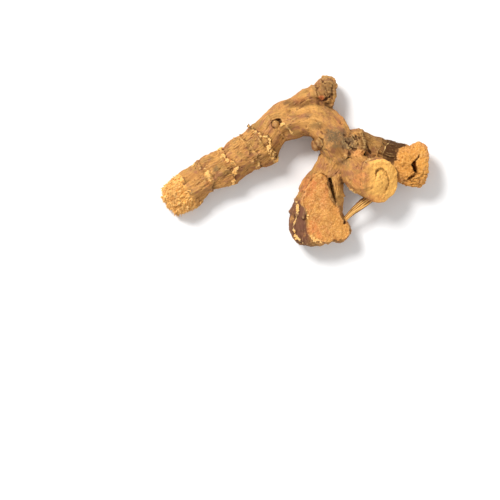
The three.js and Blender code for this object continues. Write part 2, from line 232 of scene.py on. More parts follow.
# A furrow has its limb (None is any), its line, half its width, its depth, how dark its painted shade is, and
# how far its left bank slopes.
Furrow = namedtuple("Furrow", "limb line half depth dark bank")
FURROWS = (
    Furrow("peeled_branch", SLIT, 0.4, 0.3, 0.45, 0.4),
    Furrow("peeled_branch", ((16.2, -18.9), (15.8, -20.2)), 0.3, 0.6, 0.8, 0.2),
    Furrow("split_branch", ((39.8, 1.6), (39.0, 0.4), (38.2, -0.5), (37.4, -1.5)), 0.14, 0.9, 0.7, 0.2),
    Furrow("split_branch", ((37.4, -1.4), (38.1, -2.6), (38.7, -4.1)), 0.4, 1.0, 0.8, 0.3),
    Furrow("split_branch", ((38.6, -4.0), (37.4, -5.0), (35.8, -6.4), (33.8, -7.6)), 0.1, 0.5, 0.35, 1.8),
    Furrow("cut_branch", ((26.4, -3.1), (25.4, -4.4), (25.4, -6.3)), 0.18, 0.35, 0.45, 0.3),
    Furrow(
        "cut_branch",
        ((28.4, -10.7), (29.8, -7.6), (28.8, -4.1), (27.4, -3.1), (26.2, -3.3)),
        0.16,
        0.4,
        0.4,
        1.1,
    ),
    Furrow("cut_branch", ((26.7, -5.6), (26.9, -6.0)), 0.12, 0.25, 0.5, 0.2),
    Furrow("cut_branch", ((27.2, -7.3), (27.4, -7.7)), 0.1, 0.2, 0.5, 0.2),
    Furrow(None, ((15.2, 8.0), (15.8, 7.4)), 0.14, 0.4, 0.4, 0.4),
    Furrow(None, ((16.0, 5.7), (16.9, 4.8), (17.3, 5.2)), 0.16, 0.6, 0.6, 0.3),
    Furrow(None, ((18.3, 7.4), (18.7, 6.6), (19.5, 6.2)), 0.2, 0.6, 0.6, 0.3),
    Furrow(None, ((20.1, 7.1), (20.5, 6.3)), 0.14, 0.5, 0.5, 0.3),
    Furrow(None, ((17.8, 3.8), (18.4, 3.2), (19.2, 3.3)), 0.16, 0.5, 0.6, 0.3),
    Furrow(None, ((17.0, 2.7), (17.3, 1.2)), 0.16, 0.5, 0.7, 0.2),
    Furrow(None, ((19.2, 7.6), (19.8, 4.8)), 0.2, 0.5, 0.5, 0.5),
    Furrow(None, ((22.6, 4.4), (24.0, 1.9)), 0.25, 0.6, 0.7, 0.3),
    Furrow(None, ((22.0, -1.0), (22.4, -1.4)), 0.16, 0.5, 0.8, 0.2),
    Furrow(None, ((9.9, 8.7), (10.1, 8.4)), 0.12, 0.2, 0.5, 0.2),
    Furrow(None, ((9.0, 18.9), (9.9, 19.6), (11.1, 20.1)), 0.24, 0.6, 0.75, 0.3),
    Furrow(None, ((6.6, 24.2), (6.8, 21.4), (7.4, 20.1)), 0.08, 0.25, 0.35, 0.3),
    Furrow("crown_stub", ((8.4, 25.7), (9.4, 24.3)), 0.18, 0.4, 0.45, 0.5),
    Furrow("crown_stub", ((9.3, 20.9), (9.7, 20.4)), 0.16, 0.4, 0.5, 0.3),
    Furrow("crown_stub", ((11.9, 24.2), (11.6, 21.8), (12.1, 19.0)), 0.14, 0.3, 0.3, 0.6),
    Furrow(None, ((-3.6, 13.0), (-1.6, 15.3), (1.4, 16.7), (4.8, 17.6), (8.6, 17.2)), 0.4, 0.2, 0.0, 1.8),
    Furrow(None, ((-1.6, 12.6), (1.4, 14.6), (5.2, 14.9), (8.4, 13.9)), 0.4, 0.3, 0.0, 1.4),
    Furrow(None, ((7.4, 7.1), (8.7, 6.2), (9.0, 4.6), (8.2, 3.2)), 0.12, 0.35, 0.35, 0.4),
)
# Along this line the knob's crack is filled, and only a step down to the crumbly flesh is left.
KNOB_STEP = ((39.0, -4.2), (37.2, -5.5), (34.0, -7.6))

# A lip is a raised torn edge of old bark: its line, half its width, its height and how pale it is.
Lip = namedtuple("Lip", "line half height pale")
LIPS = (
    Lip(((-4.8, 10.6), (-3.7, 11.3), (-2.7, 10.6)), 0.35, 0.35, 0.6),
    Lip(((-3.0, 10.6), (-1.9, 9.6), (-0.5, 7.3)), 0.25, 0.3, 0.6),
    Lip(((20.5, 9.5), (21.1, 7.7), (21.9, 5.1), (22.0, 2.8)), 0.45, 0.6, 0.2),
    Lip(((18.0, 8.4), (18.6, 6.2)), 0.35, 0.35, 0.15),
    Lip(((30.7, 6.1), (28.8, 4.3), (28.0, 2.1), (27.7, 0.8)), 0.14, 0.2, 0.5),
    Lip(((21.4, 9.6), (23.0, 7.6), (25.6, 6.4)), 0.35, 0.3, 0.3),
    Lip(((23.6, 5.6), (25.2, 4.2), (26.4, 2.2)), 0.25, 0.25, 0.3),
    Lip(((25.3, 0.5), (23.4, -0.2), (22.0, -1.1), (21.4, -2.2)), 0.25, 0.4, 0.45),
    Lip(((16.9, -8.9), (19.5, -11.7)), 0.3, 0.4, 0.7),
    Lip(((0.4, -12.8), (1.0, -15.0), (0.5, -17.8)), 0.45, 0.5, 0.7),
    Lip(((0.6, -17.4), (-0.6, -21.6)), 0.16, 0.3, 0.6),
    Lip(((-0.6, -21.2), (0.1, -24.0), (1.9, -25.8), (3.0, -27.0)), 0.35, 0.4, 0.75),
    Lip(((3.5, -14.8), (3.9, -19.4)), 0.18, 0.2, 0.8),
    Lip(((4.4, -23.9), (6.2, -25.4), (8.6, -26.3)), 0.6, 0.5, 0.8),
    Lip(((15.1, 5.2), (15.9, 4.5)), 0.4, 0.25, 0.3),
    Lip(((16.4, 3.8), (17.2, 3.0)), 0.4, 0.4, 0.4),
    Lip(((15.2, 2.1), (16.1, 1.0), (16.8, 0.1)), 0.6, 0.45, 0.4),
    Lip(((18.4, 1.3), (20.0, 1.7), (21.4, 2.4)), 0.6, 0.45, 0.1),
    Lip(((27.8, -4.4), (28.7, -6.2), (28.8, -8.0)), 0.3, 0.3, 0.3),
    Lip(((10.1, 21.3), (10.8, 21.9)), 0.45, 0.45, 0.25),
    Lip(((5.2, 11.1), (5.5, 11.1)), 0.12, 0.1, 1.0),
    Lip(((7.7, 11.3), (8.0, 11.2)), 0.12, 0.1, 1.0),
)

# A patch of colour has its middle, how far it reaches each way, and its strength.
Patch = namedtuple("Patch", "x y reach_x reach_y strength")
PATCHES = {
    "red": (
        Patch(8.4, 19.8, 0.9, 0.9, 1.0),
        Patch(1.4, 19.0, 2.2, 1.2, 0.22),
        Patch(14.4, 12.6, 1.2, 3.2, 0.2),
        Patch(7.0, 4.9, 1.5, 1.7, 0.08),
        Patch(22.6, -7.6, 1.4, 3.2, 0.15),
        Patch(-21.6, -0.3, 1.2, 0.8, 0.35),
        Patch(-27.7, -7.6, 1.3, 1.0, 0.3),
        Patch(20.0, -6.4, 2.0, 3.6, 0.3),
        Patch(25.4, -12.6, 3.2, 1.5, 0.4),
        Patch(19.8, 1.9, 1.9, 1.2, 0.35),
        Patch(5.6, -21.8, 1.6, 2.6, 0.5),
        Patch(7.4, -23.6, 1.3, 1.6, 0.5),
        Patch(4.4, -8.0, 2.6, 3.4, 0.45),
    ),
    "grey": (
        Patch(4.3, 14.0, 1.4, 0.9, 0.6),
        Patch(6.9, 10.5, 2.2, 1.3, 0.5),
        Patch(9.7, 16.7, 0.6, 0.8, 0.5),
        Patch(12.8, 7.0, 4.2, 3.0, 1.0),
        Patch(16.8, 5.8, 2.8, 2.4, 1.0),
        Patch(15.3, -1.0, 2.4, 1.2, 0.7),
        Patch(-25.3, -2.9, 1.0, 0.9, 0.8),
        Patch(-33.6, -10.2, 1.1, 1.2, 0.8),
        Patch(11.4, 23.6, 2.4, 3.0, 0.5),
    ),
    "gold": (
        Patch(1.2, 16.0, 3.8, 0.9, 0.9),
        Patch(6.4, 16.2, 3.4, 1.0, 0.6),
        Patch(4.8, 12.2, 4.0, 1.4, 0.5),
        Patch(19.8, 2.0, 1.9, 1.2, 0.9),
        Patch(26.4, 3.2, 1.4, 1.8, 0.4),
        Patch(23.6, 6.0, 3.0, 2.4, 1.0),
        Patch(14.0, -0.6, 2.6, 2.2, 0.3),
        Patch(14.2, -11.2, 2.0, 4.2, 1.0),
        Patch(-27.6, -4.6, 1.6, 2.8, 0.8),
        Patch(-9.6, 5.0, 2.0, 2.6, 0.5),
    ),
    "umber": (
        Patch(0.8, 18.0, 4.2, 1.6, 0.6),
        Patch(7.2, 5.0, 2.0, 2.4, 0.6),
        Patch(13.6, 3.2, 2.6, 2.2, 0.5),
        Patch(10.2, 20.6, 3.4, 6.0, 0.5),
        Patch(22.6, 6.2, 2.8, 3.6, 0.8),
    ),
    "amber": (
        Patch(37.4, -1.8, 5.6, 8.0, 0.75),
        Patch(14.6, -18.0, 4.0, 4.0, 0.3),
    ),
    "yellow": (
        Patch(14.6, -22.8, 2.8, 2.4, 0.25),
        Patch(40.4, -1.8, 1.8, 5.0, 0.4),
    ),
}
# Where along their limbs the frayed end stops and the split end starts, and how high the bud's dent begins.
FRAYED_END = 6.0
SPLIT_END = 17.4
BUD_LEVEL = 9
BUD_DENT = (-6.3, 11.25)
BUD_WAY = (0.83, 0.55)
NUB = (7.0, 4.9)
NUB_REACH = (1.9, 2.3)
CROWN_GROOVE = (6.4, 17.4)
CROWN_GROOVE_REACH = (4.2, 2.2)
KNOT = (18.2, 4.6)
KNOT_REACH = 3.4
KNOB_MIDDLE = (37.6, -1.0)


class Noise:
    """Smooth repeatable noise from -1 to 1 on a lattice of unit cells."""

    SIZE = 4096

    def __init__(self, seed):
        rng = np.random.default_rng(seed)
        self.values = rng.uniform(-1, 1, self.SIZE)
        self.order = rng.permutation(self.SIZE)

    def at(self, points):
        cell = np.floor(points).astype(np.int64)
        part = points - cell
        part = part * part * (3 - 2 * part)
        total = np.zeros(len(points))
        last = self.SIZE - 1
        for corner in range(8):
            step = np.array([corner & 1, corner >> 1 & 1, corner >> 2 & 1])
            weight = np.prod(np.where(step, part, 1 - part), axis=1)
            key = cell + step
            index = self.order[key[:, 2] & last]
            index = self.order[(key[:, 1] + index) & last]
            index = self.order[(key[:, 0] + index) & last]
            total += weight * self.values[index]
        return total

    def layers(self, points, count, fade=0.5):
        """Several octaves, the next one twice as fine and weaker by fade."""
        total = np.zeros(len(points))
        strength = 1.0
        for octave in range(count):
            total += strength * self.at(points * 2**octave + 17.3 * octave)
            strength *= fade
        return total


COARSE = Noise(3)
FINE = Noise(11)
CRUMB = Noise(29)


def ease(low, high, value):
    """0 at low and 1 at high, smoothly, whichever is the greater."""
    share = np.clip((value - low) / (high - low), 0, 1)
    return share * share * (3 - 2 * share)


def face_edges(faces):
    """The edges of four-sided faces, each one once for every face that it bounds."""
    return np.concatenate([faces[:, [k, (k + 1) % 4]] for k in range(4)])


def crease(values, cap):
    """0 along the lines where noise changes its sign, rising to cap beside them."""
    return np.minimum(np.abs(values), cap)


def spline(stations, step):
    """Points every so often along a smooth curve through the stations, whatever their number of values."""
    knots = np.array(stations, float)
    knots = np.vstack([2 * knots[0] - knots[1], knots, 2 * knots[-1] - knots[-2]])
    points = []
    for i in range(1, len(knots) - 2):
        a, b, c, d = knots[i - 1 : i + 3]
        count = max(2, round(np.linalg.norm((c - b)[:3]) / step))
        for k in range(count):
            t = k / count
            curve = 2 * b + (c - a) * t + (2 * a - 5 * b + 4 * c - d) * t**2
            points.append(0.5 * (curve + (3 * b - a - 3 * c + d) * t**3))
    points.append(knots[-2])
    return np.array(points)


class Limb:
    """A limb's middle line, which gives any point its place along and across the limb."""

    def __init__(self, name):
        line = spline(STATIONS[name], SAMPLE_STEP)
        self.name = name
        self.middle = line[:, :3] + LIMB_ORIGIN
        self.half = line[:, 3:5] / 2
        gaps = np.linalg.norm(np.diff(self.middle, axis=0), axis=1)
        self.along = np.concatenate([[0], np.cumsum(gaps)])
        self.length = self.along[-1]
        tangent = np.gradient(self.middle, axis=0)
        self.tangent = tangent / np.linalg.norm(tangent, axis=1)[:, None]
        side = np.cross(self.tangent, (0, 0, 1))
        self.side = side / np.linalg.norm(side, axis=1)[:, None]
        self.top = np.cross(self.side, self.tangent)

    def locate(self, points):
        """Each point's (along, across, upwards), its turn, its share of the girth, and the limb's way."""
        nearest = np.empty(len(points), int)
        for start in range(0, len(points), 20000):
            block = points[start : start + 20000]
            apart = ((block[:, None, :] - self.middle[None, :, :]) ** 2).sum(axis=2)
            nearest[start : start + 20000] = apart.argmin(axis=1)
        offset = points - self.middle[nearest]
        ways = (self.tangent, self.side, self.top)
        ahead, across, upwards = ((offset * way[nearest]).sum(axis=1) for way in ways)
        half = self.half[nearest]
        past = np.where((nearest == 0) | (nearest == len(self.middle) - 1), np.abs(ahead), 0)
        ratio = np.sqrt((across / half[:, 0]) ** 2 + (upwards / half[:, 1]) ** 2 + (past / half[:, 0]) ** 2)
        turn = np.arctan2(upwards / half[:, 1], across / half[:, 0]) / (2 * math.pi)
        place = np.stack([self.along[nearest] + ahead, across, upwards], axis=1)
        return place, turn, ratio, self.tangent[nearest]

    def crest(self, line, turn):
        """How far along the limb a line across its top stands at each turn. It closes under the belly."""
        line = np.array(line) + LIMB_ORIGIN[:2]
        nearest = ((line[:, None, :] - self.middle[None, :, :2]) ** 2).sum(axis=2).argmin(axis=1)
        offset = line - self.middle[nearest, :2]
        along = self.along[nearest] + (offset * self.tangent[nearest, :2]).sum(axis=1)
        across = (offset * self.side[nearest, :2]).sum(axis=1) / self.half[nearest, 0]
        turns = np.arccos(np.clip(across, -1, 1)) / (2 * math.pi)
        return np.interp(turn, turns, along, period=1)


class Hide:
    """The surface of the whole rhizome as points and faces in mm."""

    def __init__(self, points, faces):
        self.points = points
        self.faces = faces
        edges = face_edges(faces)
        edges.sort(axis=1)
        self.edges = np.unique(edges, axis=0)
        self.valence = np.bincount(self.edges.ravel(), minlength=len(points))

    def averaged(self, values):
        """Each point's neighbours' mean of some values."""
        a, b = self.edges.T
        size = len(self.points)
        columns = [np.bincount(a, v[b], size) + np.bincount(b, v[a], size) for v in values.T]
        return np.stack(columns, axis=1) / self.valence[:, None]

    def smoothed(self, values, rounds, share=0.6, back=-0.62):
        """Values smoothed over the surface, by default without shrinking what is broad."""
        for _ in range(rounds):
            values = values + share * (self.averaged(values) - values)
            if back:
                values = values + back * (self.averaged(values) - values)
        return values

    def normals(self):
        p = self.points[self.faces]
        face = np.cross(p[:, 2] - p[:, 0], p[:, 3] - p[:, 1])
        size = len(self.points)
        total = np.zeros((size, 3))
        for corner in range(4):
            for axis in range(3):
                total[:, axis] += np.bincount(self.faces[:, corner], face[:, axis], size)
        return total / np.maximum(np.linalg.norm(total, axis=1), 1e-12)[:, None]


def stand(name, data):
    """A new object in the scene."""
    made = bpy.data.objects.new(name, data)
    bpy.context.scene.collection.objects.link(made)
    return made


def closed_hide(detail, close):
    """One closed surface round all the limbs' solids, with the gaps at the forks grown shut."""
    shell = bmesh.new()
    for name in LIMB_NODES:
        node = frame["nodes"][name]
        mesh = node.data.copy()
        mesh.transform(node.matrix_world)
        shell.from_mesh(mesh)
        bpy.data.meshes.remove(mesh)
    bmesh.ops.scale(shell, vec=(1 / MM,) * 3, verts=shell.verts)
    bmesh.ops.remove_doubles(shell, verts=shell.verts, dist=0.002)
    shell.normal_update()
    for corner in shell.verts:
        corner.co += corner.normal * close
    mesh = bpy.data.meshes.new("hide")
    shell.to_mesh(mesh)
    shell.free()
    maker = stand("hide", mesh)
    remesh = maker.modifiers.new("remesh", "REMESH")
    remesh.mode = "VOXEL"
    remesh.voxel_size = detail
    remesh.adaptivity = 0
    made = maker.evaluated_get(bpy.context.evaluated_depsgraph_get()).to_mesh()
    points = np.empty(3 * len(made.vertices))
    made.vertices.foreach_get("co", points)
    faces = np.empty(4 * len(made.polygons), int)
    made.polygons.foreach_get("vertices", faces)
    bpy.data.objects.remove(maker)
    bpy.data.meshes.remove(mesh)
    return Hide(points.reshape(-1, 3), faces.reshape(-1, 4))


def line_distance(points, line):
    """Distance in plan to a line of (x, y) places, the side (1 is the left) and the share along the line."""
    line = np.array(line)
    best = np.full(len(points), 1e9)
    sign = np.ones(len(points))
    where = np.zeros(len(points))
    run = 0.0
    for a, b in zip(line[:-1], line[1:]):
        step = b - a
        size = np.linalg.norm(step)
        if size == 0:
            continue
        offset = points[:, :2] - a
        share = np.clip((offset @ step) / size**2, 0, 1)
        apart = np.linalg.norm(offset - share[:, None] * step, axis=1)
        closer = apart < best
        best[closer] = apart[closer]
        where[closer] = (run + share * size)[closer]
        left = step[0] * offset[:, 1] - step[1] * offset[:, 0]
        sign[closer] = np.where(left[closer] >= 0, 1, -1)
        run += size
    return best, sign, where / run


def inside_distance(points, outline):
    """Distance in plan from points to a closed outline, positive inside."""
    curve = spline(outline + outline[:1], 0.5)
    apart, _, _ = line_distance(points, curve)
    inside = np.zeros(len(points), bool)
    x, y = points[:, 0], points[:, 1]
    for (ax, ay), (bx, by) in zip(curve, np.roll(curve, -1, axis=0)):
        if ay != by:
            inside ^= ((ay > y) != (by > y)) & (x < (bx - ax) * (y - ay) / (by - ay) + ax)
    return np.where(inside, apart, -apart)


# The points of one limb, and what the bark there needs to know of them.
Stretch = namedtuple("Stretch", "number limb busy weight place turn pits")


class Dressing:
    """Carves bark, rings, cuts and flesh into the surface, keeps what each point is made of, and marks
    painted shade in its hollows.
    """

    def __init__(self, hide, wrinkle, crust):
        self.hide = hide
        self.wrinkle = wrinkle
        self.crust_height = crust
        self.plan = hide.points - LIMB_ORIGIN
        self.x, self.y, self.z = self.plan.T
        self.up = hide.normals()[:, 2]
        self.limbs = [Limb(name) for name in STATIONS]
        self.places = [limb.locate(hide.points) for limb in self.limbs]
        ratios = np.stack([place[2] for place in self.places], axis=1)
        self.nearest = ratios.argmin(axis=1)
        weights = np.exp(-FORK_SHARPNESS * (ratios - ratios.min(axis=1)[:, None]))
        self.weights = weights / weights.sum(axis=1)[:, None]
        pick = self.nearest[:, None]
        self.grain = np.choose(pick, [place[0] for place in self.places])
        self.way = np.choose(pick, [place[3] for place in self.places])
        self.ragged = COARSE.layers(self.plan * 0.9, 3)
        size = len(hide.points)
        self.relief = np.zeros(size)
        self.sunk = np.zeros(size)
        # One of these facts is the shade painted into cracks, moats, pits and creases.
        self.facts = {name: np.zeros(size) for name in ("crust", "hollow", "worn", "streaks", *PATCHES)}
        self.mark_flesh()
        self.cut_furrows()
        self.set_bud()
        self.fill_grooves()
        self.wrinkle_bark()
        self.raise_lips()
        self.roughen_flesh()
        self.roughen_knots()
        self.colour_patches()
        self.settle()

    def own(self, name):
        """1 on one limb, and less where it runs into its neighbours."""
        return self.weights[:, [limb.name for limb in self.limbs].index(name)]

    def on(self, name):
        return self.own(name) > 0.5

    def along(self, name):
        return self.places[[limb.name for limb in self.limbs].index(name)][0][:, 0]

    def apart(self, middle, reach=1.0):
        """How far the points are from a place in plan, as a share of a reach."""
        return np.linalg.norm((self.plan[:, :2] - middle) / reach, axis=1)

    def mark(self, fact, values, where=slice(None)):
        """Raises a fact to some values where they are the greater."""
        self.facts[fact][where] = np.maximum(self.facts[fact][where], values)

    def mark_flesh(self):
        """Flesh shows where the rhizome was peeled, cut, frayed or split."""
        x, y, z, up = self.x, self.y, self.z, self.up
        right, down, top, falls_right, falls_down = PEEL_PLANE
        self.peel_floor = top - falls_right * (x - right) - falls_down * (down - y)
        self.peel_inset = inside_distance(self.plan, PEEL_OUTLINE) + 0.16 * self.ragged
        high = (z > self.peel_floor - 1.2) & (z > 6) & (up > -0.2)
        self.peel = ease(-0.1, 0.2, self.peel_inset) * high
        length = next(limb.length for limb in self.limbs if limb.name == "cut_branch")
        end = self.along("cut_branch") - length
        merges = ease(26.0, 21.5, x + 0.25 * (y + 6))
        reach = (end + 0.4 * self.ragged + 1.1 + 2.6 * merges) / (0.6 + 5.0 * merges)
        self.face = ease(0, 1, reach) * self.on("cut_branch")
        self.face *= 0.1 + 0.9 * ease(20.4, 25.6, x + self.ragged)
        frayed = FRAYED_END - 2.2 * ease(0.2, -0.6, up)
        self.fibre = ease(frayed + 0.4, frayed - 0.4, self.along("stem") + 1.3 * self.ragged)
        self.fibre *= self.on("stem")
        skin_side = 5.0 * ease(0.2, -0.7, up) + 2.5 * ease(3.8, 5.2, y) * ease(38, 36, x)
        past = self.along("split_branch") - SPLIT_END - skin_side + 0.9 * self.ragged
        self.knob = ease(0, 0.9, past)
        self.knob *= self.on("split_branch")
        self.flesh = np.maximum.reduce([self.peel, self.face, self.fibre, self.knob])

    def cut_furrows(self):
        """Cracks, slits and creases, pushed straight down and painted with shade."""
        shown = ease(-0.1, 0.2, self.up) * (self.z > 6.0)
        self.wobble = 0.12 * FINE.layers(self.plan * 1.6, 2)
        for furrow in FURROWS:
            apart, side, share = line_distance(self.plan, furrow.line)
            half = furrow.half * (0.25 + 0.75 * np.sin(math.pi * np.clip(share, 0.02, 0.98)) ** 0.7)
            apart = apart + self.wobble
            near = ease(half + 0.25, half - 0.1, apart)
            bank = ease(half + furrow.bank, half - 0.1, apart) ** 1.5
            cut = np.where(side > 0, bank, near) * shown
            if furrow.limb:
                cut *= self.on(furrow.limb)
            self.sunk = np.maximum(self.sunk, furrow.depth * cut)
            # Painted shade along the furrow, and on its sloping left bank.
            dark = furrow.dark * np.maximum(near, 0.4 * bank * (side > 0)) * (cut > 0.05)
            self.mark("hollow", dark)

    def set_bud(self):
        """The old bud is a button in its dent, with a moat round its far side that is painted with shade."""
        high = self.z > BUD_LEVEL
        radius = self.apart(BUD_DENT)
        ahead = np.maximum((self.plan[:, :2] - BUD_DENT) @ BUD_WAY / np.maximum(radius, 0.1), 0)
        half = 0.02 + 0.45 * ahead**3
        from_moat = np.abs(radius - 1.3 - 0.4 * ahead**4) + 0.3 * self.wobble
        moat = ease(half + 0.25, half - 0.1, from_moat) * (0.2 + 0.8 * ahead) * high
        self.sunk = np.maximum(self.sunk, 1.3 * moat)
        # The moat is painted dark as shade.
        self.mark("hollow", moat)
        self.button = ease(1.2, 0.9, radius) * high
        brim = self.z[(radius > 1.9) & (radius < 2.4) & high].mean()
        self.filled = np.maximum(brim - 0.35 - self.z, 0) * ease(0.6, 0.1, ahead) * (radius < 2.0) * high

    def fill_grooves(self):
        """Fills part of the knob's crack, of the groove by the crown stub and of the peeled branch's slit."""
        z = self.z
        from_crack, _, _ = line_distance(self.plan, KNOB_STEP)
        level = np.interp(self.y, (-7.6, -6.0, -4.3, -3.4), (8.3, 9.5, 10.2, 7.0))
        crack = np.maximum(level - z, 0) * (from_crack < 1.4) * (z > 6.8) * self.on("split_branch")
        evened = self.hide.smoothed(self.hide.points, 60, 0.6, 0)[:, 2] - self.hide.points[:, 2]
        near_groove = ease(1.0, 0.5, self.apart(CROWN_GROOVE, CROWN_GROOVE_REACH))
        groove = 1.3 * np.maximum(evened, 0) * near_groove * (z > 8) * (self.up > 0)
        from_slit, _, _ = line_distance(self.plan, SLIT)
        slit = np.maximum(self.peel_floor - SLIT_DEPTH - z, 0) * ease(1.8, 1.4, from_slit)
        slit *= (z > 3.5) * (self.up > -0.3) * self.on("peeled_branch")
        self.filled = np.maximum.reduce([self.filled, crack, groove, slit])

    def wrinkle_bark(self):
        """Gives each limb its wrinkles, rings and scars, blended at the forks."""
        for number, limb in enumerate(self.limbs):
            busy = self.weights[:, number] > 0.01
            place, turn, _, _ = self.places[number]
            pits = CRUMB.layers((place[busy] + NOISE_STEP * number) * (0.7, 1.0, 1.0) + 11, 2)
            stretch = Stretch(number, limb, busy, self.weights[busy, number], place[busy], turn[busy], pits)
            bark = self.wrinkles(stretch) + self.rings(stretch) + self.scars(stretch)
            self.relief[busy] += stretch.weight * bark
        self.relief *= (1 - self.flesh) * (1 - 0.8 * self.button)
        self.facts["crust"] *= (1 - self.flesh) * (1 - self.button)
        self.relief += 0.15 * self.button

    def wrinkles(self, stretch):
        """Long wrinkles which wander and fork, low lumps, pits, and scales where the outer bark wore off."""
        place = stretch.place
        local = place + NOISE_STEP * stretch.number
        drift = np.stack([COARSE.at(local * k + j) for k, j in ((0.16, 0), (0.26, 7), (0.26, 19))], axis=1)
        bent = local + drift * (1.5, 0.8, 0.8)
        strong = WRINKLED[stretch.limb.name] * (0.6 + 0.4 * COARSE.at(local * 0.2 + 50))
        if stretch.limb.name == "stem":
            strong *= 0.55 + 0.45 * ease(8, 14, place[:, 0])
            strong *= 1 - 0.8 * ease(36, 42, place[:, 0])
        self.facts["streaks"][stretch.busy] += stretch.weight * strong
        folds = crease(COARSE.at(bent * (0.09, 0.42, 0.42)), 0.4) / 0.4
        broad = crease(COARSE.at(bent * (0.16, 0.9, 0.9) + 23), 0.35) / 0.35
        thin = crease(FINE.at(bent * (0.26, 1.9, 1.9)), 0.3) / 0.3
        hair = FINE.at(bent * (0.6, 3.4, 3.4) + 5)
        lumps = COARSE.layers(local * (0.2, 0.26, 0.26) + 3, 3, 0.6)
        worn = ease(0.05, 0.16, FINE.layers(local * (0.28, 0.55, 0.55) + 31, 3, 0.6))
        self.facts["worn"][stretch.busy] += stretch.weight * worn
        bark = self.wrinkle * strong * (0.34 * folds + 0.26 * broad + 0.2 * thin - 0.5)
        return bark + 0.05 * hair + 0.34 * lumps - 0.22 * ease(0.55, 0.85, stretch.pits) - 0.13 * worn

    def rings(self, stretch):
        """Torn crumbly ledges, where old leaf scales stood."""
        angle = 2 * math.pi * stretch.turn
        circle = MEAN_RADIUS * np.stack([np.cos(angle), np.sin(angle)], axis=1)
        flat = ease(0.1, 0.55, np.abs(self.up[stretch.busy]))
        beads = CRUMB.layers(stretch.place * (1.1, 1.3, 1.3) + 20, 2, 0.5)
        bark = np.zeros(len(angle))
        for number, ring in enumerate(RINGS[stretch.limb.name]):
            spot = np.column_stack([np.full(len(angle), 9.1 * number + 31 * stretch.number), circle])
            torn = 0.6 * FINE.layers(spot * (1, 0.5, 0.5), 3, 0.6)
            torn += 0.3 * np.round(1.6 * CRUMB.at(spot * (1, 0.8, 0.8) + 5))
            past = stretch.place[:, 0] - stretch.limb.crest(ring.line, stretch.turn) + torn
            bias = np.where(stretch.turn > 0, ring.left, -0.05)
            left = ease(-0.1, 0.25, COARSE.layers(spot * (1, 0.5, 0.5) + 2, 2) + bias)
            before = ease(0.2, 0.0, past)
            band = before * ease(-2.2, -0.6, past)
            scales = band * ease(0.12, 0.28, beads) * (0.35 + 0.65 * left) * ease(-0.7, 0.0, bias)
            edge = before * ease(-0.9, -0.4, past) * left * np.clip(0.6 + 1.2 * beads, 0, 1.3)
            ledge = 0.2 * band + 0.4 * edge + 0.4 * scales
            bark += ring.height * self.crust_height * ledge * (0.3 + 0.7 * flat)
            bark -= 0.22 * ease(0.0, 0.2, past) * ease(3.0, 0.2, past) * ease(-0.6, 0.0, bias)
            crusty = np.clip(0.75 * edge + scales, 0, 1) * (0.25 + 0.75 * flat)
            self.mark("crust", stretch.weight * crusty, stretch.busy)
            # A thin line of painted shade just behind each ring's torn edge.
            shade = ease(0.0, 0.12, past) * ease(0.6, 0.2, past) * left
            self.mark("hollow", 0.18 * stretch.weight * shade, stretch.busy)
        return bark

    def scars(self, stretch):
        """Pits with a pale rim and a stub in the middle, where roots broke off."""
        bark = np.zeros(len(stretch.turn))
        for scar in SCARS:
            if scar.limb == stretch.limb.name:
                round_it = (stretch.turn - scar.turn + 0.5) % 1 - 0.5
                apart = np.hypot(stretch.place[:, 0] - scar.along, 2 * math.pi * MEAN_RADIUS * round_it)
                apart = (apart + 0.25 * stretch.pits) / scar.radius
                rim = ease(1.5, 1.05, apart) * ease(0.55, 0.9, apart)
                pit = ease(0.95, 0.6, apart)
                bark += 0.4 * rim - 0.5 * pit + 0.45 * ease(0.4, 0.1, apart)
                self.mark("crust", 0.7 * stretch.weight * rim, stretch.busy)
                # The pit is painted darker as shade.
                self.mark("hollow", 0.6 * stretch.weight * pit, stretch.busy)
        return bark

    def raise_lips(self):
        """Torn edges of old bark that stand up."""
        torn = 0.42 * FINE.layers(self.plan * 0.9 + 8, 3, 0.7)
        shown = ease(-0.25, 0.1, self.up) * (self.z > 3.0)
        for lip in LIPS:
            apart, _, share = line_distance(self.plan, lip.line)
            fade = np.sin(math.pi * np.clip(share, 0.05, 0.95)) ** 0.4
            up = ease(lip.half + 0.15, 0.4 * lip.half, apart + torn * min(1, 2.5 * lip.half)) * shown * fade
            self.relief += lip.height * up * (0.8 + 0.4 * CRUMB.at(self.plan * 1.9))
            self.mark("crust", lip.pale * up)

    def roughen_flesh(self):
        """Flesh is granular, the knob spongy and the frayed end tufted."""
        x, y = self.x, self.y
        gritty = CRUMB.layers(self.plan * 1.7, 2, 0.7)
        fibrous = FINE.layers(self.grain * (0.5, 2.0, 2.0) + 4, 2, 0.6)
        waves = COARSE.layers(self.plan * 0.3 + 9, 3, 0.6)
        meat = 0.13 * gritty + 0.05 * fibrous + 0.3 * waves
        worms = crease(CRUMB.layers(self.grain * (0.5, 0.9, 0.9) + 40, 2, 0.6), 0.5)
        crumbly = ease(-4.2, -5.6, y + 0.45 * (37 - x) + 0.8 * self.ragged) * ease(33, 35, x)
        right, up = KNOB_MIDDLE
        fan = np.column_stack([6 * np.arctan2(y - up, x - right), 0.3 * np.hypot(x - right, y), 0.3 * y])
        strokes = FINE.layers(fan, 3, 0.6)
        meat += self.knob * (0.7 * (worms - 0.25) * crumbly + 0.05 * gritty)
        meat += 0.17 * self.knob * strokes * ease(-3.0, 1.5, y + 1.5 * (x > 38.4))
        tufts = np.abs(CRUMB.layers(self.grain * (0.45, 1.0, 1.0) + 60, 3, 0.7))
        meat += self.fibre * (0.7 * tufts - 0.5)
        frill = ease(1.0, 0.2, np.abs(self.face - 0.5) * 2) * ease(-2, 2, x - 27)
        meat += frill * 0.25 * CRUMB.at(self.plan * 1.3 + 5)
        rim = np.clip(4 * self.face * (1 - self.face), 0, 1) * ease(26.5, 23.5, x)
        self.relief += meat * self.flesh - 0.08 * rim
        # Painted shade in the creases of the knob's crumbly flesh.
        self.mark("hollow", 0.5 * crumbly * self.knob * ease(0.25, 0.05, worms))

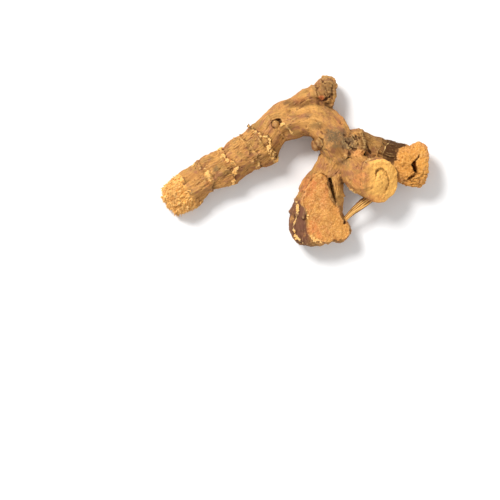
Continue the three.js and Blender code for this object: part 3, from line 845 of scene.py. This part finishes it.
    def roughen_knots(self):
        """The crown stub, the knot and the start of the split branch are crusted and broken."""
        stub = self.own("crown_stub") * ease(0.8, 2.6, self.along("crown_stub"))
        gnarls = crease(COARSE.layers(self.plan * (0.36, 0.2, 0.3) + 70, 2, 0.45), 0.4)
        scaly = FINE.layers(self.plan * (0.9, 0.7, 0.9) + 64, 3, 0.65)
        self.relief += stub * (0.9 * (gnarls - 0.2) + 0.16 * scaly)
        knot = np.exp(-self.apart(KNOT, KNOT_REACH) ** 2) * (self.z > 5) * (1 - self.flesh)
        broken = crease(COARSE.layers(self.plan * 0.42 + 90, 2, 0.5), 0.4)
        self.relief += knot * (0.5 * (broken - 0.2) + 0.3 * scaly)
        # Painted shade in the creases of the crown stub and of the knot.
        self.mark("hollow", 0.3 * stub * ease(0.05, 0.0, gnarls))
        self.mark("hollow", 0.12 * knot * ease(0.05, 0.0, broken))
        self.mark("crust", 0.3 * ease(0.25, 0.4, scaly) * ease(0.3, 0.7, knot))
        self.relief += ease(1.0, 0.5, self.apart(NUB, NUB_REACH)) * (self.z > 3.5) * (self.up > -0.5)

    def colour_patches(self):
        """Where the bark is redder, greyer, more golden or darker."""
        edge = 0.35 * COARSE.layers(self.plan * 0.8 + 13, 3, 0.7)
        dark = np.interp(self.along("split_branch"), (5, 7, 9.5, 13.0, 14.2), (0.05, 0.15, 0.45, 0.6, 1.1))
        self.mark("umber", dark * self.own("split_branch") * (1 - self.flesh))
        self.mark("yellow", np.maximum(self.fibre, self.face))
        for name, patches in PATCHES.items():
            for patch in patches:
                apart = self.apart((patch.x, patch.y), (patch.reach_x, patch.reach_y))
                self.mark(name, patch.strength * ease(1.3, 0.5, apart + edge) * (self.z > 5))
        flank = ease(-0.1, -0.5, self.peel_inset) * ease(7, 3, self.x) * ease(-11, -14, self.y)
        self.facts["plum"] = flank * self.own("peeled_branch") * (1 - self.flesh)
        self.facts["flesh"] = self.flesh

    def settle(self):
        """Moves the points, and reads which of them stand proud and which lie in hollows."""
        hide = self.hide
        hide.points = hide.points + np.outer(self.filled - self.sunk, (0, 0, 1))
        whole = self.peel * (self.sunk < 0.05)
        hide.points[:, 2] += whole * (self.peel_floor - self.z)
        hide.points = hide.points + self.relief[:, None] * hide.normals()
        hide.points[:, 2] = np.maximum(hide.points[:, 2], TABLE_GAP)
        outward = hide.normals()
        near = hide.smoothed(hide.points, 5, 0.6, 0)
        far = hide.smoothed(near, 24, 0.6, 0)
        self.facts["cavity"] = ((near - hide.points) * outward).sum(axis=1)
        self.facts["valley"] = ((far - hide.points) * outward).sum(axis=1)
        self.facts["grain"] = self.grain + NOISE_STEP * self.nearest[:, None]
        self.normals = outward
        self.owners = np.array([LIMB_NODES.index(OWNER[limb.name]) for limb in self.limbs])[self.nearest]


def set_layer(mesh, name, values):
    """Stores one value, or one vector, for each point of a mesh."""
    vector = values.ndim == 2
    layer = mesh.attributes.new(name, "FLOAT_VECTOR" if vector else "FLOAT", "POINT")
    layer.data.foreach_set("vector" if vector else "value", values.ravel())


def limb_mesh(name, dressing, owner):
    """The faces of the surface that belong to one limb, capped inside where it leaves its neighbours."""
    hide = dressing.hide
    faces = hide.faces[dressing.owners[hide.faces[:, 0]] == owner]
    used, index = np.unique(faces, return_inverse=True)
    faces = index.reshape(-1, 4)
    points = hide.points[used]
    keys = set(map(tuple, face_edges(faces).tolist()))
    rim = [(a, b) for a, b in keys if (b, a) not in keys]
    leads = {a: a for a, _ in rim}

    def lead(corner):
        while leads[corner] != corner:
            corner = leads[corner]
        return corner

    for a, b in rim:
        leads[lead(a)] = lead(b)
    loops = sorted({lead(a) for a in leads})
    hubs = [points[[a for a in leads if lead(a) == loop]].mean(axis=0) for loop in loops]
    caps = [(b, a, len(points) + loops.index(lead(a))) for a, b in rim]
    if hubs:
        points = np.vstack([points, hubs])
    mesh = bpy.data.meshes.new(name)
    mesh.from_pydata((points * MM).tolist(), [], faces.tolist() + caps)
    for key, values in dressing.facts.items():
        spare = np.zeros((len(hubs),) + values.shape[1:])
        set_layer(mesh, key, np.concatenate([values[used], spare]))
    mesh.shade_smooth()
    spare = np.tile((0.0, 0.0, 1.0), (len(hubs), 1))
    mesh.normals_split_custom_set_from_vertices(np.vstack([dressing.normals[used], spare]).tolist())
    return mesh


def unit(vectors):
    return vectors / np.maximum(np.linalg.norm(vectors, axis=1), 1e-9)[:, None]


def joined_mesh(name, corners, faces, shades):
    """One mesh of many alike solids. Its corners are (solids, corners, 3), and faces index one solid."""
    count, each, _ = corners.shape
    whole = [tuple(c + each * i for c in face) for i in range(count) for face in faces]
    mesh = bpy.data.meshes.new(name)
    mesh.from_pydata((corners.reshape(-1, 3) * MM).tolist(), [], whole)
    set_layer(mesh, "shade", np.repeat(shades, each))
    return mesh


def wall(sides):
    """The faces between a ring of corners and the next ring up."""
    return tuple((k, (k + 1) % sides, (k + 1) % sides + sides, k + sides) for k in range(sides))


def crumb_solids(rng, middles, normals, ways, longs, wides, thicks):
    """Corners of thin five-sided flakes that lie on the surface, each lifted at its edge."""
    count = len(middles)
    across = unit(np.cross(normals, ways))
    ahead = unit(np.cross(across, normals))
    rings = []
    angles = np.arange(5) * 2 * math.pi / 5 + rng.uniform(0, 2 * math.pi, (count, 1))
    reach = rng.uniform(0.65, 1.15, (count, 5))
    a = np.cos(angles) * reach * wides[:, None] / 2
    b = np.sin(angles) * reach * longs[:, None] / 2
    tilt = rng.uniform(-0.3, 0.5, (count, 1))
    lift = tilt * a + rng.uniform(-0.06, 0.06, (count, 5))
    for level in (-0.5, 0.5):
        shrink = 1.0 if level < 0 else 0.8
        flat = ahead[:, None, :] * (a * shrink)[:, :, None] + across[:, None, :] * (b * shrink)[:, :, None]
        up = normals[:, None, :] * (lift + level * thicks[:, None])[:, :, None]
        rings.append(middles[:, None, :] + flat + up)
    return np.concatenate(rings, axis=1)


CRUMB_FACES = ((4, 3, 2, 1, 0), (5, 6, 7, 8, 9)) + wall(5)


def fibre_solids(rng, roots, ways, lengths, widths, bend):
    """Corners of tapered three-sided fibres which leave their roots in the given ways and bend."""
    count = len(roots)
    ways = unit(ways)
    side = unit(np.cross(ways, rng.normal(size=(count, 3))))
    other = np.cross(ways, side)
    swing = rng.normal(scale=bend, size=(count, 3)) * lengths[:, None]
    rings = []
    for share, thick in ((0.0, 1.0), (0.5, 0.85)):
        middle = roots + ways * (lengths * share)[:, None] + swing * share**2
        for k in range(3):
            turn = 2 * math.pi * k / 3
            out = side * math.cos(turn) + other * math.sin(turn)
            rings.append(middle + out * (widths * thick / 2)[:, None])
    rings.append(roots + ways * lengths[:, None] + swing)
    return np.stack(rings, axis=1)


FIBRE_FACES = ((2, 1, 0),) + wall(3) + tuple((k + 3, (k + 1) % 3 + 3, 6) for k in range(3))


def strand(line, radii, sides, seed):
    """Corners and faces of one fibre of the rootlet, round a line of points, with closed ends."""
    tangent = unit(np.gradient(line, axis=0))
    side = unit(np.cross(tangent, (0, 0, 1)))
    top = np.cross(side, tangent)
    turns = np.arange(sides) * 2 * math.pi / sides
    run, turn = np.meshgrid(np.arange(len(line)) * 0.5, np.arange(sides) * 0.9, indexing="ij")
    spots = np.stack([run, turn, run * 0.3 + turn * 0.7], axis=-1).reshape(-1, 3) + seed
    grooves = 1 - 0.3 * (np.arange(sides) % 2)
    reach = radii[:, None] * grooves * (1 + 0.22 * FINE.at(spots).reshape(len(line), sides))
    round_it = np.cos(turns)[:, None] * side[:, None, :] + np.sin(turns)[:, None] * top[:, None, :]
    corners = line[:, None, :] + reach[:, :, None] * round_it
    faces = []
    for i in range(len(line) - 1):
        for k in range(sides):
            a, b = i * sides + k, i * sides + (k + 1) % sides
            faces.append((a, a + sides, b + sides, b))
    faces.append(tuple(range(sides)))
    faces.append(tuple(reversed(range((len(line) - 1) * sides, len(line) * sides))))
    return corners.reshape(-1, 3), faces


def add_piece(name, mesh, material):
    piece = stand(name, mesh)
    mesh.materials.append(material)
    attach(piece, "root")
    return piece


class Wire:
    """A shader socket that takes part in Python expressions, which add their Math nodes."""

    def __init__(self, finish, socket):
        self.finish = finish
        self.socket = socket

    def maths(self, operation, a, b):
        return self.finish.node("ShaderNodeMath", {"operation": operation}, {0: a, 1: b})

    def __add__(self, other):
        return self.maths("ADD", self, other)

    def __sub__(self, other):
        return self.maths("SUBTRACT", self, other)

    def __rsub__(self, other):
        return self.maths("SUBTRACT", other, self)

    def __mul__(self, other):
        return self.maths("MULTIPLY", self, other)

    __radd__ = __add__
    __rmul__ = __mul__


class Finish:
    """A material's node tree, and the one way that its nodes are made."""

    def __init__(self, name):
        self.material = bpy.data.materials.new(name)
        self.material.use_nodes = True
        self.tree = self.material.node_tree
        self.shader = self.tree.nodes["Principled BSDF"]

    def node(self, kind, settings=None, sockets=None, output=0):
        made = self.tree.nodes.new(kind)
        for key, value in (settings or {}).items():
            setattr(made, key, value)
        for key, value in (sockets or {}).items():
            self.feed(made.inputs[key], value)
        return Wire(self, made.outputs[output])

    def feed(self, socket, value):
        if isinstance(value, Wire):
            self.tree.links.new(value.socket, socket)
        elif socket.type == "RGBA" and len(value) == 3:
            socket.default_value = (*value, 1)
        else:
            socket.default_value = value

    def fact(self, name):
        return self.node("ShaderNodeAttribute", {"attribute_name": name}, output=2)

    def facts(self, names):
        """The facts that a line of words names."""
        return [self.fact(name) for name in names.split()]

    def grain(self, stretch):
        place = self.node("ShaderNodeAttribute", {"attribute_name": "grain"}, output=1)
        return self.node("ShaderNodeVectorMath", {"operation": "MULTIPLY"}, {0: place, 1: stretch})

    def noise(self, place, scale, detail=4.0, roughness=0.6, distortion=0.0):
        sockets = {"Vector": place, "Scale": scale, "Detail": detail, "Roughness": roughness}
        return self.node("ShaderNodeTexNoise", {}, {**sockets, "Distortion": distortion})

    def ramp(self, value, tints, *stops):
        """A colour for each value, from stops that are each a value and the name of its tint."""
        made = self.node("ShaderNodeValToRGB", {}, {"Fac": value})
        elements = made.socket.node.color_ramp.elements
        while len(elements) < len(stops):
            elements.new(0.5)
        for element, (place, tint) in zip(elements, stops):
            element.position = place
            element.color = (*tints[tint], 1)
        return made

    def ease(self, value, low, high):
        """0 at low and 1 at high, smoothly."""
        sockets = {"Value": value, "From Min": low, "From Max": high}
        return self.node("ShaderNodeMapRange", {"interpolation_type": "SMOOTHSTEP"}, sockets)

    def blend(self, share, a, b):
        return self.node("ShaderNodeMix", {"data_type": "RGBA"}, {0: share, 6: a, 7: b}, output=2)

    def coats(self, colour, tints, *coats):
        """A colour with thin coats over it, each one its share and the name of its tint."""
        for share, tint in coats:
            colour = self.blend(share, colour, tints[tint])
        return colour

    def cover(self, colour, sheen, bumps, strength, depth):
        """Gives the shader its colour, its dull roughness and its bumps, and hands over the material."""
        inputs = self.shader.inputs
        sockets = {"Strength": strength, "Distance": depth * MM, "Height": bumps}
        bump = self.node("ShaderNodeBump", {}, sockets)
        self.feed(inputs["Base Color"], colour)
        self.feed(inputs["Roughness"], 0.95 - 0.25 * sheen)
        self.feed(inputs["Specular IOR Level"], 0.25)
        self.feed(inputs["Normal"], bump)
        return self.material


def bark_and_flesh(name, tints):
    """Streaked brown bark with crumbly pale rings and granular flesh where it was cut, with painted shade in
    its creases and hollows and painted highlights on its ridges.
    """
    f = Finish(name)
    flesh, crust, hollow, worn, streaks = f.facts("flesh crust hollow worn streaks")
    cavity, valley, red, grey, gold = f.facts("cavity valley red grey gold")
    plum, umber, yellow, amber = f.facts("plum umber yellow amber")
    plain = f.grain((1.0, 1.0, 1.0))
    broad = f.noise(f.grain((0.12, 1.0, 1.0)), 0.8, 4, 0.6, 0.4)
    thin = f.noise(f.grain((0.16, 1.0, 1.0)), 2.6, 4, 0.65, 0.3)
    lines = f.noise(f.grain((0.07, 1.0, 1.0)), 3.2, 3, 0.6, 0.2)
    mottle = f.noise(plain, 0.25, 5, 0.62, 0.6)
    other = f.noise(f.grain((0.7, 1.0, 1.2)), 0.4, 4, 0.6, 0.5)
    speck = f.noise(plain, 2.4, 3, 0.7)

    streaky = 0.5 + (0.45 * broad + 0.55 * thin - 0.5) * (0.45 + 0.55 * streaks)
    stops = ((0.37, "bark_dark"), (0.46, "bark"), (0.55, "bark_pale"), (0.67, "bark_gold"))
    bark = f.ramp(streaky, tints, *stops)
    bark = f.coats(
        bark,
        tints,
        (f.ease(mottle, 0.47, 0.6) * 0.75, "olive"),
        (f.ease(other, 0.48, 0.6) * 0.7, "bark_red"),
        (worn * f.ease(speck, 0.35, 0.6) * 0.4, "bark_gold"),
        (gold * f.ease(speck, 0.3, 0.55) * 0.85, "bark_gold"),
        (f.ease(lines, 0.56, 0.66) * (0.1 + 0.35 * streaks), "bark_dark"),
        (plum * f.ease(mottle + 0.3 * speck, 0.45, 0.65) * 0.9, "plum"),
        (umber * f.ease(mottle + 0.4 * thin, 0.42, 0.6) * 0.9, "umber"),
        (grey * f.ease(speck + 0.3 * mottle, 0.4, 0.7) * 0.9, "grey"),
        (f.ease(crust * (0.6 + speck), 0.3, 0.75), "crust"),
    )

    cells = f.node("ShaderNodeTexVoronoi", {}, {"Vector": plain, "Scale": 2.2, "Randomness": 1.0})
    pulp = f.noise(plain, 0.5, 6, 0.66, 0.3)
    meat = f.ramp(pulp, tints, (0.34, "flesh_deep"), (0.5, "flesh"), (0.66, "flesh_pale"))
    meat = f.coats(
        meat,
        tints,
        (f.ease(other, 0.45, 0.65) * (0.7 - 0.6 * amber), "flesh_red"),
        (yellow * 0.9, "cut_face"),
        (amber * 0.8, "amber"),
        (f.ease(cells, 0.3, 0.8) * 0.2, "flesh_deep"),
        (f.ease(speck, 0.5, 0.62) * (0.6 - 0.47 * yellow), "flesh_deep"),
        (f.ease(speck, 0.48, 0.36) * (0.4 - 0.3 * yellow - 0.25 * amber), "crust"),
    )

    colour = f.coats(
        f.blend(flesh, bark, meat),
        tints,
        (red * f.ease(speck, 0.25, 0.6), "rust"),
        # Painted highlight: proud ridges are lightened with the crust colour.
        (f.ease(cavity, -0.02, -0.1) * 0.25, "crust"),
    )
    # Painted shade: creases and broad valleys are darkened towards the shade colour, less on flesh and golden
    # patches.
    deep = f.ease(cavity, 0.01, 0.09) * 0.75 + f.ease(valley, 0.05, 0.35) * 0.35
    shaded = f.coats(colour, tints, (0.7, "painted_shade"))
    colour = f.blend(deep * (1 - 0.45 * flesh - 0.4 * gold), colour, shaded)
    # Painted shade in the marked cracks, furrows, moats and pits.
    colour = f.coats(colour, tints, (hollow * 0.9, "painted_shade"))
    fibres = f.noise(f.grain((0.4, 3.2, 3.2)), 1.5, 5, 0.7, 0.3)
    grit = f.noise(plain, 3.4, 4, 0.7)
    height = fibres * (1 - flesh) + (grit * 0.8 + cells * 0.4) * flesh + grit * crust
    return f.cover(colour, thin, height, 0.8, 0.14)


def crumbs(name, tints):
    """Pale dry crumbs and fibres, each with its own shade."""
    f = Finish(name)
    place = f.node("ShaderNodeTexCoord", {}, output=3)
    grit = f.noise(place, 2600.0, 3, 0.6)
    shade = f.fact("shade") * 0.75 + grit * 0.25
    colour = f.ramp(shade, tints, (0.1, "bark_dark"), (0.2, "bark"), (0.38, "straw"), (0.9, "crust"))
    return f.cover(colour, grit, grit, 0.5, 0.06)


def length_prop(name, description, default):
    return FloatProperty(name=name, description=description, default=default, unit="LENGTH", precision=5)


def number_prop(kind, name, description, default, least=0):
    return kind(name=name, description=description, default=default, min=least)


def colour_prop(name, description, red, green, blue):
    """A colour from the red, green and blue of a picture, 0 to 255."""
    linear = [((v / 255 + 0.055) / 1.055) ** 2.4 for v in (red, green, blue)]
    look = {"default": linear, "subtype": "COLOR", "min": 0, "max": 1}
    return FloatVectorProperty(name=name, description=description, **look)


class RhizomeSizes(PropertyGroup):
    detail: length_prop("Surface detail", "Edge length of the dressed surface's faces", 0.00021)
    fork_fill: length_prop("Fork fill", "How far the limbs grow to close the gaps at the forks", 0.0002)
    wrinkle: length_prop("Wrinkle depth", "Depth of the bark's long wrinkles", 0.001)
    crust: number_prop(FloatProperty, "Ring crust", "How proud the rings' crust stands", 0.7)
    evenness: number_prop(IntProperty, "Evenness", "Rounds of smoothing before the bark", 16)
    ring_flakes: number_prop(IntProperty, "Ring flakes", "How many flakes cling to the rings", 900, 1)
    end_fibres: number_prop(IntProperty, "End fibres", "How many fibres the frayed end has", 2200, 1)


class RhizomeColours(PropertyGroup):
    bark: colour_prop("Bark", "Middle brown of the bark", 171, 117, 61)
    bark_dark: colour_prop("Dark bark", "Streaks and shaded folds of the bark", 112, 72, 38)
    bark_pale: colour_prop("Pale bark", "Worn ridges of the bark", 200, 144, 79)
    bark_gold: colour_prop("Golden bark", "Inner bark where the outer has worn off", 222, 165, 88)
    bark_red: colour_prop("Red bark", "Reddish patches of the bark", 150, 96, 67)
    olive: colour_prop("Olive bark", "Dull green-brown patches of the bark", 153, 114, 61)
    umber: colour_prop("Umber bark", "Dark bark of the split branch", 76, 44, 12)
    plum: colour_prop("Plum bark", "Purple-brown bark beside the peeled flesh", 105, 65, 50)
    grey: colour_prop("Grey crust", "Grey crust on the knot", 104, 84, 58)
    rust: colour_prop("Rust", "Orange-red spots", 218, 122, 70)
    crust: colour_prop("Ring crust", "Crumbs of old leaf scales on the rings", 242, 200, 130)
    straw: colour_prop("Straw", "Dry fibres and flakes", 232, 178, 98)
    # Painted shade: the colour laid into cracks, furrows, pits, creases and valleys where shade falls.
    painted_shade: colour_prop("Hollows", "The bottoms of cracks and furrows", 72, 40, 16)
    amber: colour_prop("Amber flesh", "Flesh of the split end", 216, 147, 56)
    flesh: colour_prop("Flesh", "Cut or peeled flesh", 206, 144, 72)
    flesh_pale: colour_prop("Pale flesh", "The palest of the flesh", 224, 161, 81)
    flesh_deep: colour_prop("Deep flesh", "The flesh in its pores", 170, 108, 50)
    flesh_red: colour_prop("Red flesh", "Reddish parts of the flesh", 208, 134, 77)
    cut_face: colour_prop("Cut face", "Flesh of the cut face and of the frayed end", 255, 192, 98)


class StageSettings(PropertyGroup):
    frame: length_prop("Frame", "Width of the table that the picture shows", 0.16)
    level: length_prop("Frame level", "Height at which the picture shows that width", 0.007)
    distance: length_prop("Camera distance", "From the camera to the table", 0.8)
    key: number_prop(FloatProperty, "Key light", "Power of the soft light from the left, in watts", 9.0)
    sky: number_prop(FloatProperty, "Sky", "Strength of the even light from all round", 0.6)
    half_table: number_prop(FloatProperty, "Half table", "Half the width of the table, in metres", 3.0)


def settings():
    scene = bpy.context.scene
    return scene.rhizome_sizes, scene.rhizome_colours, scene.rhizome_stage


def colour_table():
    _, group, _ = settings()
    return {name: tuple(getattr(group, name)) for name in RhizomeColours.__annotations__}


def scattered(name, corners, faces, shades, material):
    """A piece of many small solids, kept above the table."""
    corners[:, :, 2] = np.maximum(corners[:, :, 2], TABLE_GAP)
    return add_piece(name, joined_mesh(name, corners, faces, shades), material)


# The limbs' dressing, which the flakes and fibres are laid on.
dressed = {}


class RHIZOME_OT_limbs(Operator):
    """Dress the stem and its four limbs with bark, rings and cut flesh"""

    bl_idname = "rhizome.limbs"
    bl_label = "Limbs"

    def execute(self, context):
        group, _, _ = settings()
        close = group.fork_fill / MM
        hide = closed_hide(group.detail / MM, close)
        hide.points = hide.smoothed(hide.points, group.evenness)
        hide.points = hide.points - close * hide.normals()
        dressing = Dressing(hide, group.wrinkle / MM, group.crust)
        dressed["limbs"] = dressing
        material = bark_and_flesh("galangal_bark", colour_table())
        for owner, node in enumerate(LIMB_NODES):
            piece = add_piece(node + "_skin", limb_mesh(node + "_skin", dressing, owner), material)
            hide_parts(node)
        return {"FINISHED"}


class RHIZOME_OT_crumbs(Operator):
    """Stick torn flakes on the rings and lips, and fibres on the frayed end"""

    bl_idname = "rhizome.crumbs"
    bl_label = "Flakes and fibres"

    def execute(self, context):
        group, _, _ = settings()
        dressing = dressed["limbs"]
        hide = dressing.hide
        rng = np.random.default_rng(5)
        material = crumbs("galangal_crumbs", colour_table())

        upward = dressing.normals[:, 2]
        share = np.where(upward > 0, ease(0.3, 0.75, upward), 0.15)
        share *= ease(0.45, 0.95, dressing.facts["crust"])
        spots = rng.choice(len(share), group.ring_flakes, replace=False, p=share / share.sum())
        size = rng.gamma(3.0, 0.1, group.ring_flakes) + 0.22
        way = dressing.way[spots]
        corners = crumb_solids(
            rng,
            hide.points[spots],
            dressing.normals[spots],
            way + rng.normal(scale=0.4, size=way.shape),
            size * rng.uniform(0.8, 1.5, len(size)),
            size * rng.uniform(0.5, 1.0, len(size)),
            rng.uniform(0.1, 0.22, len(size)),
        )
        shades = rng.uniform(0.25, 1, len(size))
        piece = scattered("ring_flakes", corners, CRUMB_FACES, shades, material)

        share = dressing.fibre * ease(-0.75, 0.0, dressing.up)
        spots = rng.choice(len(share), group.end_fibres, replace=False, p=share / share.sum())
        outward = dressing.normals[spots]
        roots = hide.points[spots] - 0.1 * outward
        tuft = np.stack([FINE.at(roots * 0.7 + shift) for shift in (0, 13, 29)], axis=1)
        ways = -0.55 * dressing.way[spots] + 0.5 * outward + (0.05, -0.3, 0.0) + 0.8 * tuft
        ways = ways + rng.normal(scale=0.3, size=ways.shape)
        lengths = rng.uniform(0.5, 1.25, len(spots))
        widths = rng.uniform(0.22, 0.45, len(spots))
        corners = fibre_solids(rng, roots, ways, lengths, widths, 0.14)
        shades = 0.55 + 0.3 * CRUMB.at(roots * 0.8) + rng.normal(scale=0.2, size=len(spots))
        piece = scattered("end_fibres", corners, FIBRE_FACES, np.clip(shades, 0.1, 1), material)
        return {"FINISHED"}


class RHIZOME_OT_rootlet(Operator):
    """Lay the dried rootlet's fibres side by side"""

    bl_idname = "rhizome.rootlet"
    bl_label = "Rootlet"

    def execute(self, context):
        line = spline(ROOTLET, 0.3)
        middle = line[:, :3] + LIMB_ORIGIN
        tangent = unit(np.gradient(middle, axis=0))
        side = unit(np.cross(tangent, (0, 0, 1)))
        run = np.linspace(0, 1, len(line))
        strands = []
        # Every other strand is dark: painted shade for the grooves between the fibres.
        shades = (0.0, 0.4, 0.02, 0.55, 0.05, 0.45, 0.0, 0.35, 0.0)
        for number in range(len(shades)):
            place = -0.9 + 1.8 * number / (len(shades) - 1)
            wander = 0.07 * np.sin(run * 9 + 2.1 * number)
            path = middle + side * ((place + wander) * line[:, 3] / 2)[:, None]
            path[:, 2] += 0.14 * (number % 2) + 0.1 * np.sin(run * 7 + number)
            radii = (0.1 + 0.03 * math.sin(2.4 * number)) * line[:, 3]
            corners, faces = strand(path, radii, 10, 10.0 * number)
            strands.append(corners)
        mesh = joined_mesh("rootlet_fibres", np.stack(strands), faces, shades)
        mesh.shade_smooth()
        piece = add_piece("rootlet_fibres", mesh, crumbs("galangal_rootlet", colour_table()))
        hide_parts("rootlet")
        return {"FINISHED"}


class RHIZOME_OT_stage(Operator):
    """Set the pale table, the soft lights and the camera"""

    bl_idname = "rhizome.stage"
    bl_label = "Table, lights and camera"

    def execute(self, context):
        _, _, group = settings()
        scene = context.scene
        scene.view_settings.view_transform = "Standard"
        mesh = bpy.data.meshes.new("table")
        half = group.half_table
        corners = [(-half, -half, 0), (half, -half, 0), (half, half, 0), (-half, half, 0)]
        mesh.from_pydata(corners, [], [(0, 1, 2, 3)])
        table = stand("table", mesh)
        f = Finish("white_table")
        f.feed(f.shader.inputs["Base Color"], (0.9, 0.9, 0.9))
        f.feed(f.shader.inputs["Roughness"], 0.8)
        mesh.materials.append(f.material)
        world = bpy.data.worlds.new("studio")
        world.use_nodes = True
        background = world.node_tree.nodes["Background"].inputs
        background["Color"].default_value = (1, 1, 1, 1)
        background["Strength"].default_value = group.sky
        scene.world = world
        for name, place, size, power in (
            ("key", (-0.4, 0.45, 0.7), 0.3, group.key),
            ("fill", (0.5, -0.3, 0.5), 0.6, group.key * 0.1),
        ):
            lamp = bpy.data.lights.new(name, "AREA")
            lamp.size = size
            lamp.energy = power
            light = stand(name, lamp)
            light.location = place
            light.rotation_mode = "QUATERNION"
            light.rotation_quaternion = (-Vector(place)).to_track_quat("-Z", "Y")
        camera = bpy.data.cameras.new("camera")
        camera.lens = camera.sensor_width * (group.distance - group.level) / group.frame
        camera.clip_start = 0.01
        viewer = stand("camera", camera)
        right, down = np.subtract(PHOTO_MIDDLE, ORIGIN_PIXEL) * PIXEL
        viewer.location = ((LIMB_ORIGIN[0] + right) * MM, (LIMB_ORIGIN[1] - down) * MM, group.distance)
        scene.camera = viewer
        return {"FINISHED"}


class RHIZOME_PT_sidebar(Panel):
    """Lists the sizes, the colours and the steps"""

    bl_idname = "RHIZOME_PT_sidebar"
    bl_label = "Rhizome"
    bl_space_type = "VIEW_3D"
    bl_region_type = "UI"
    bl_category = "Rhizome"

    def draw(self, context):
        for group in settings():
            box = self.layout.box()
            for name in type(group).__annotations__:
                box.prop(group, name)
        for step in STEPS:
            self.layout.operator(step.bl_idname)


GROUPS = {"rhizome_sizes": RhizomeSizes, "rhizome_colours": RhizomeColours, "rhizome_stage": StageSettings}
STEPS = (RHIZOME_OT_limbs, RHIZOME_OT_crumbs, RHIZOME_OT_rootlet, RHIZOME_OT_stage)


def register():
    for group in (*GROUPS.values(), *STEPS, RHIZOME_PT_sidebar):
        bpy.utils.register_class(group)
    for name, group in GROUPS.items():
        setattr(bpy.types.Scene, name, PointerProperty(type=group))


def unregister():
    for name in GROUPS:
        delattr(bpy.types.Scene, name)
    for group in (RHIZOME_PT_sidebar, *reversed(STEPS), *GROUPS.values()):
        bpy.utils.unregister_class(group)


def main():
    register()
    bpy.ops.rhizome.limbs()
    bpy.ops.rhizome.crumbs()
    bpy.ops.rhizome.rootlet()
    bpy.ops.rhizome.stage()


if __name__ == "__main__":
    main()
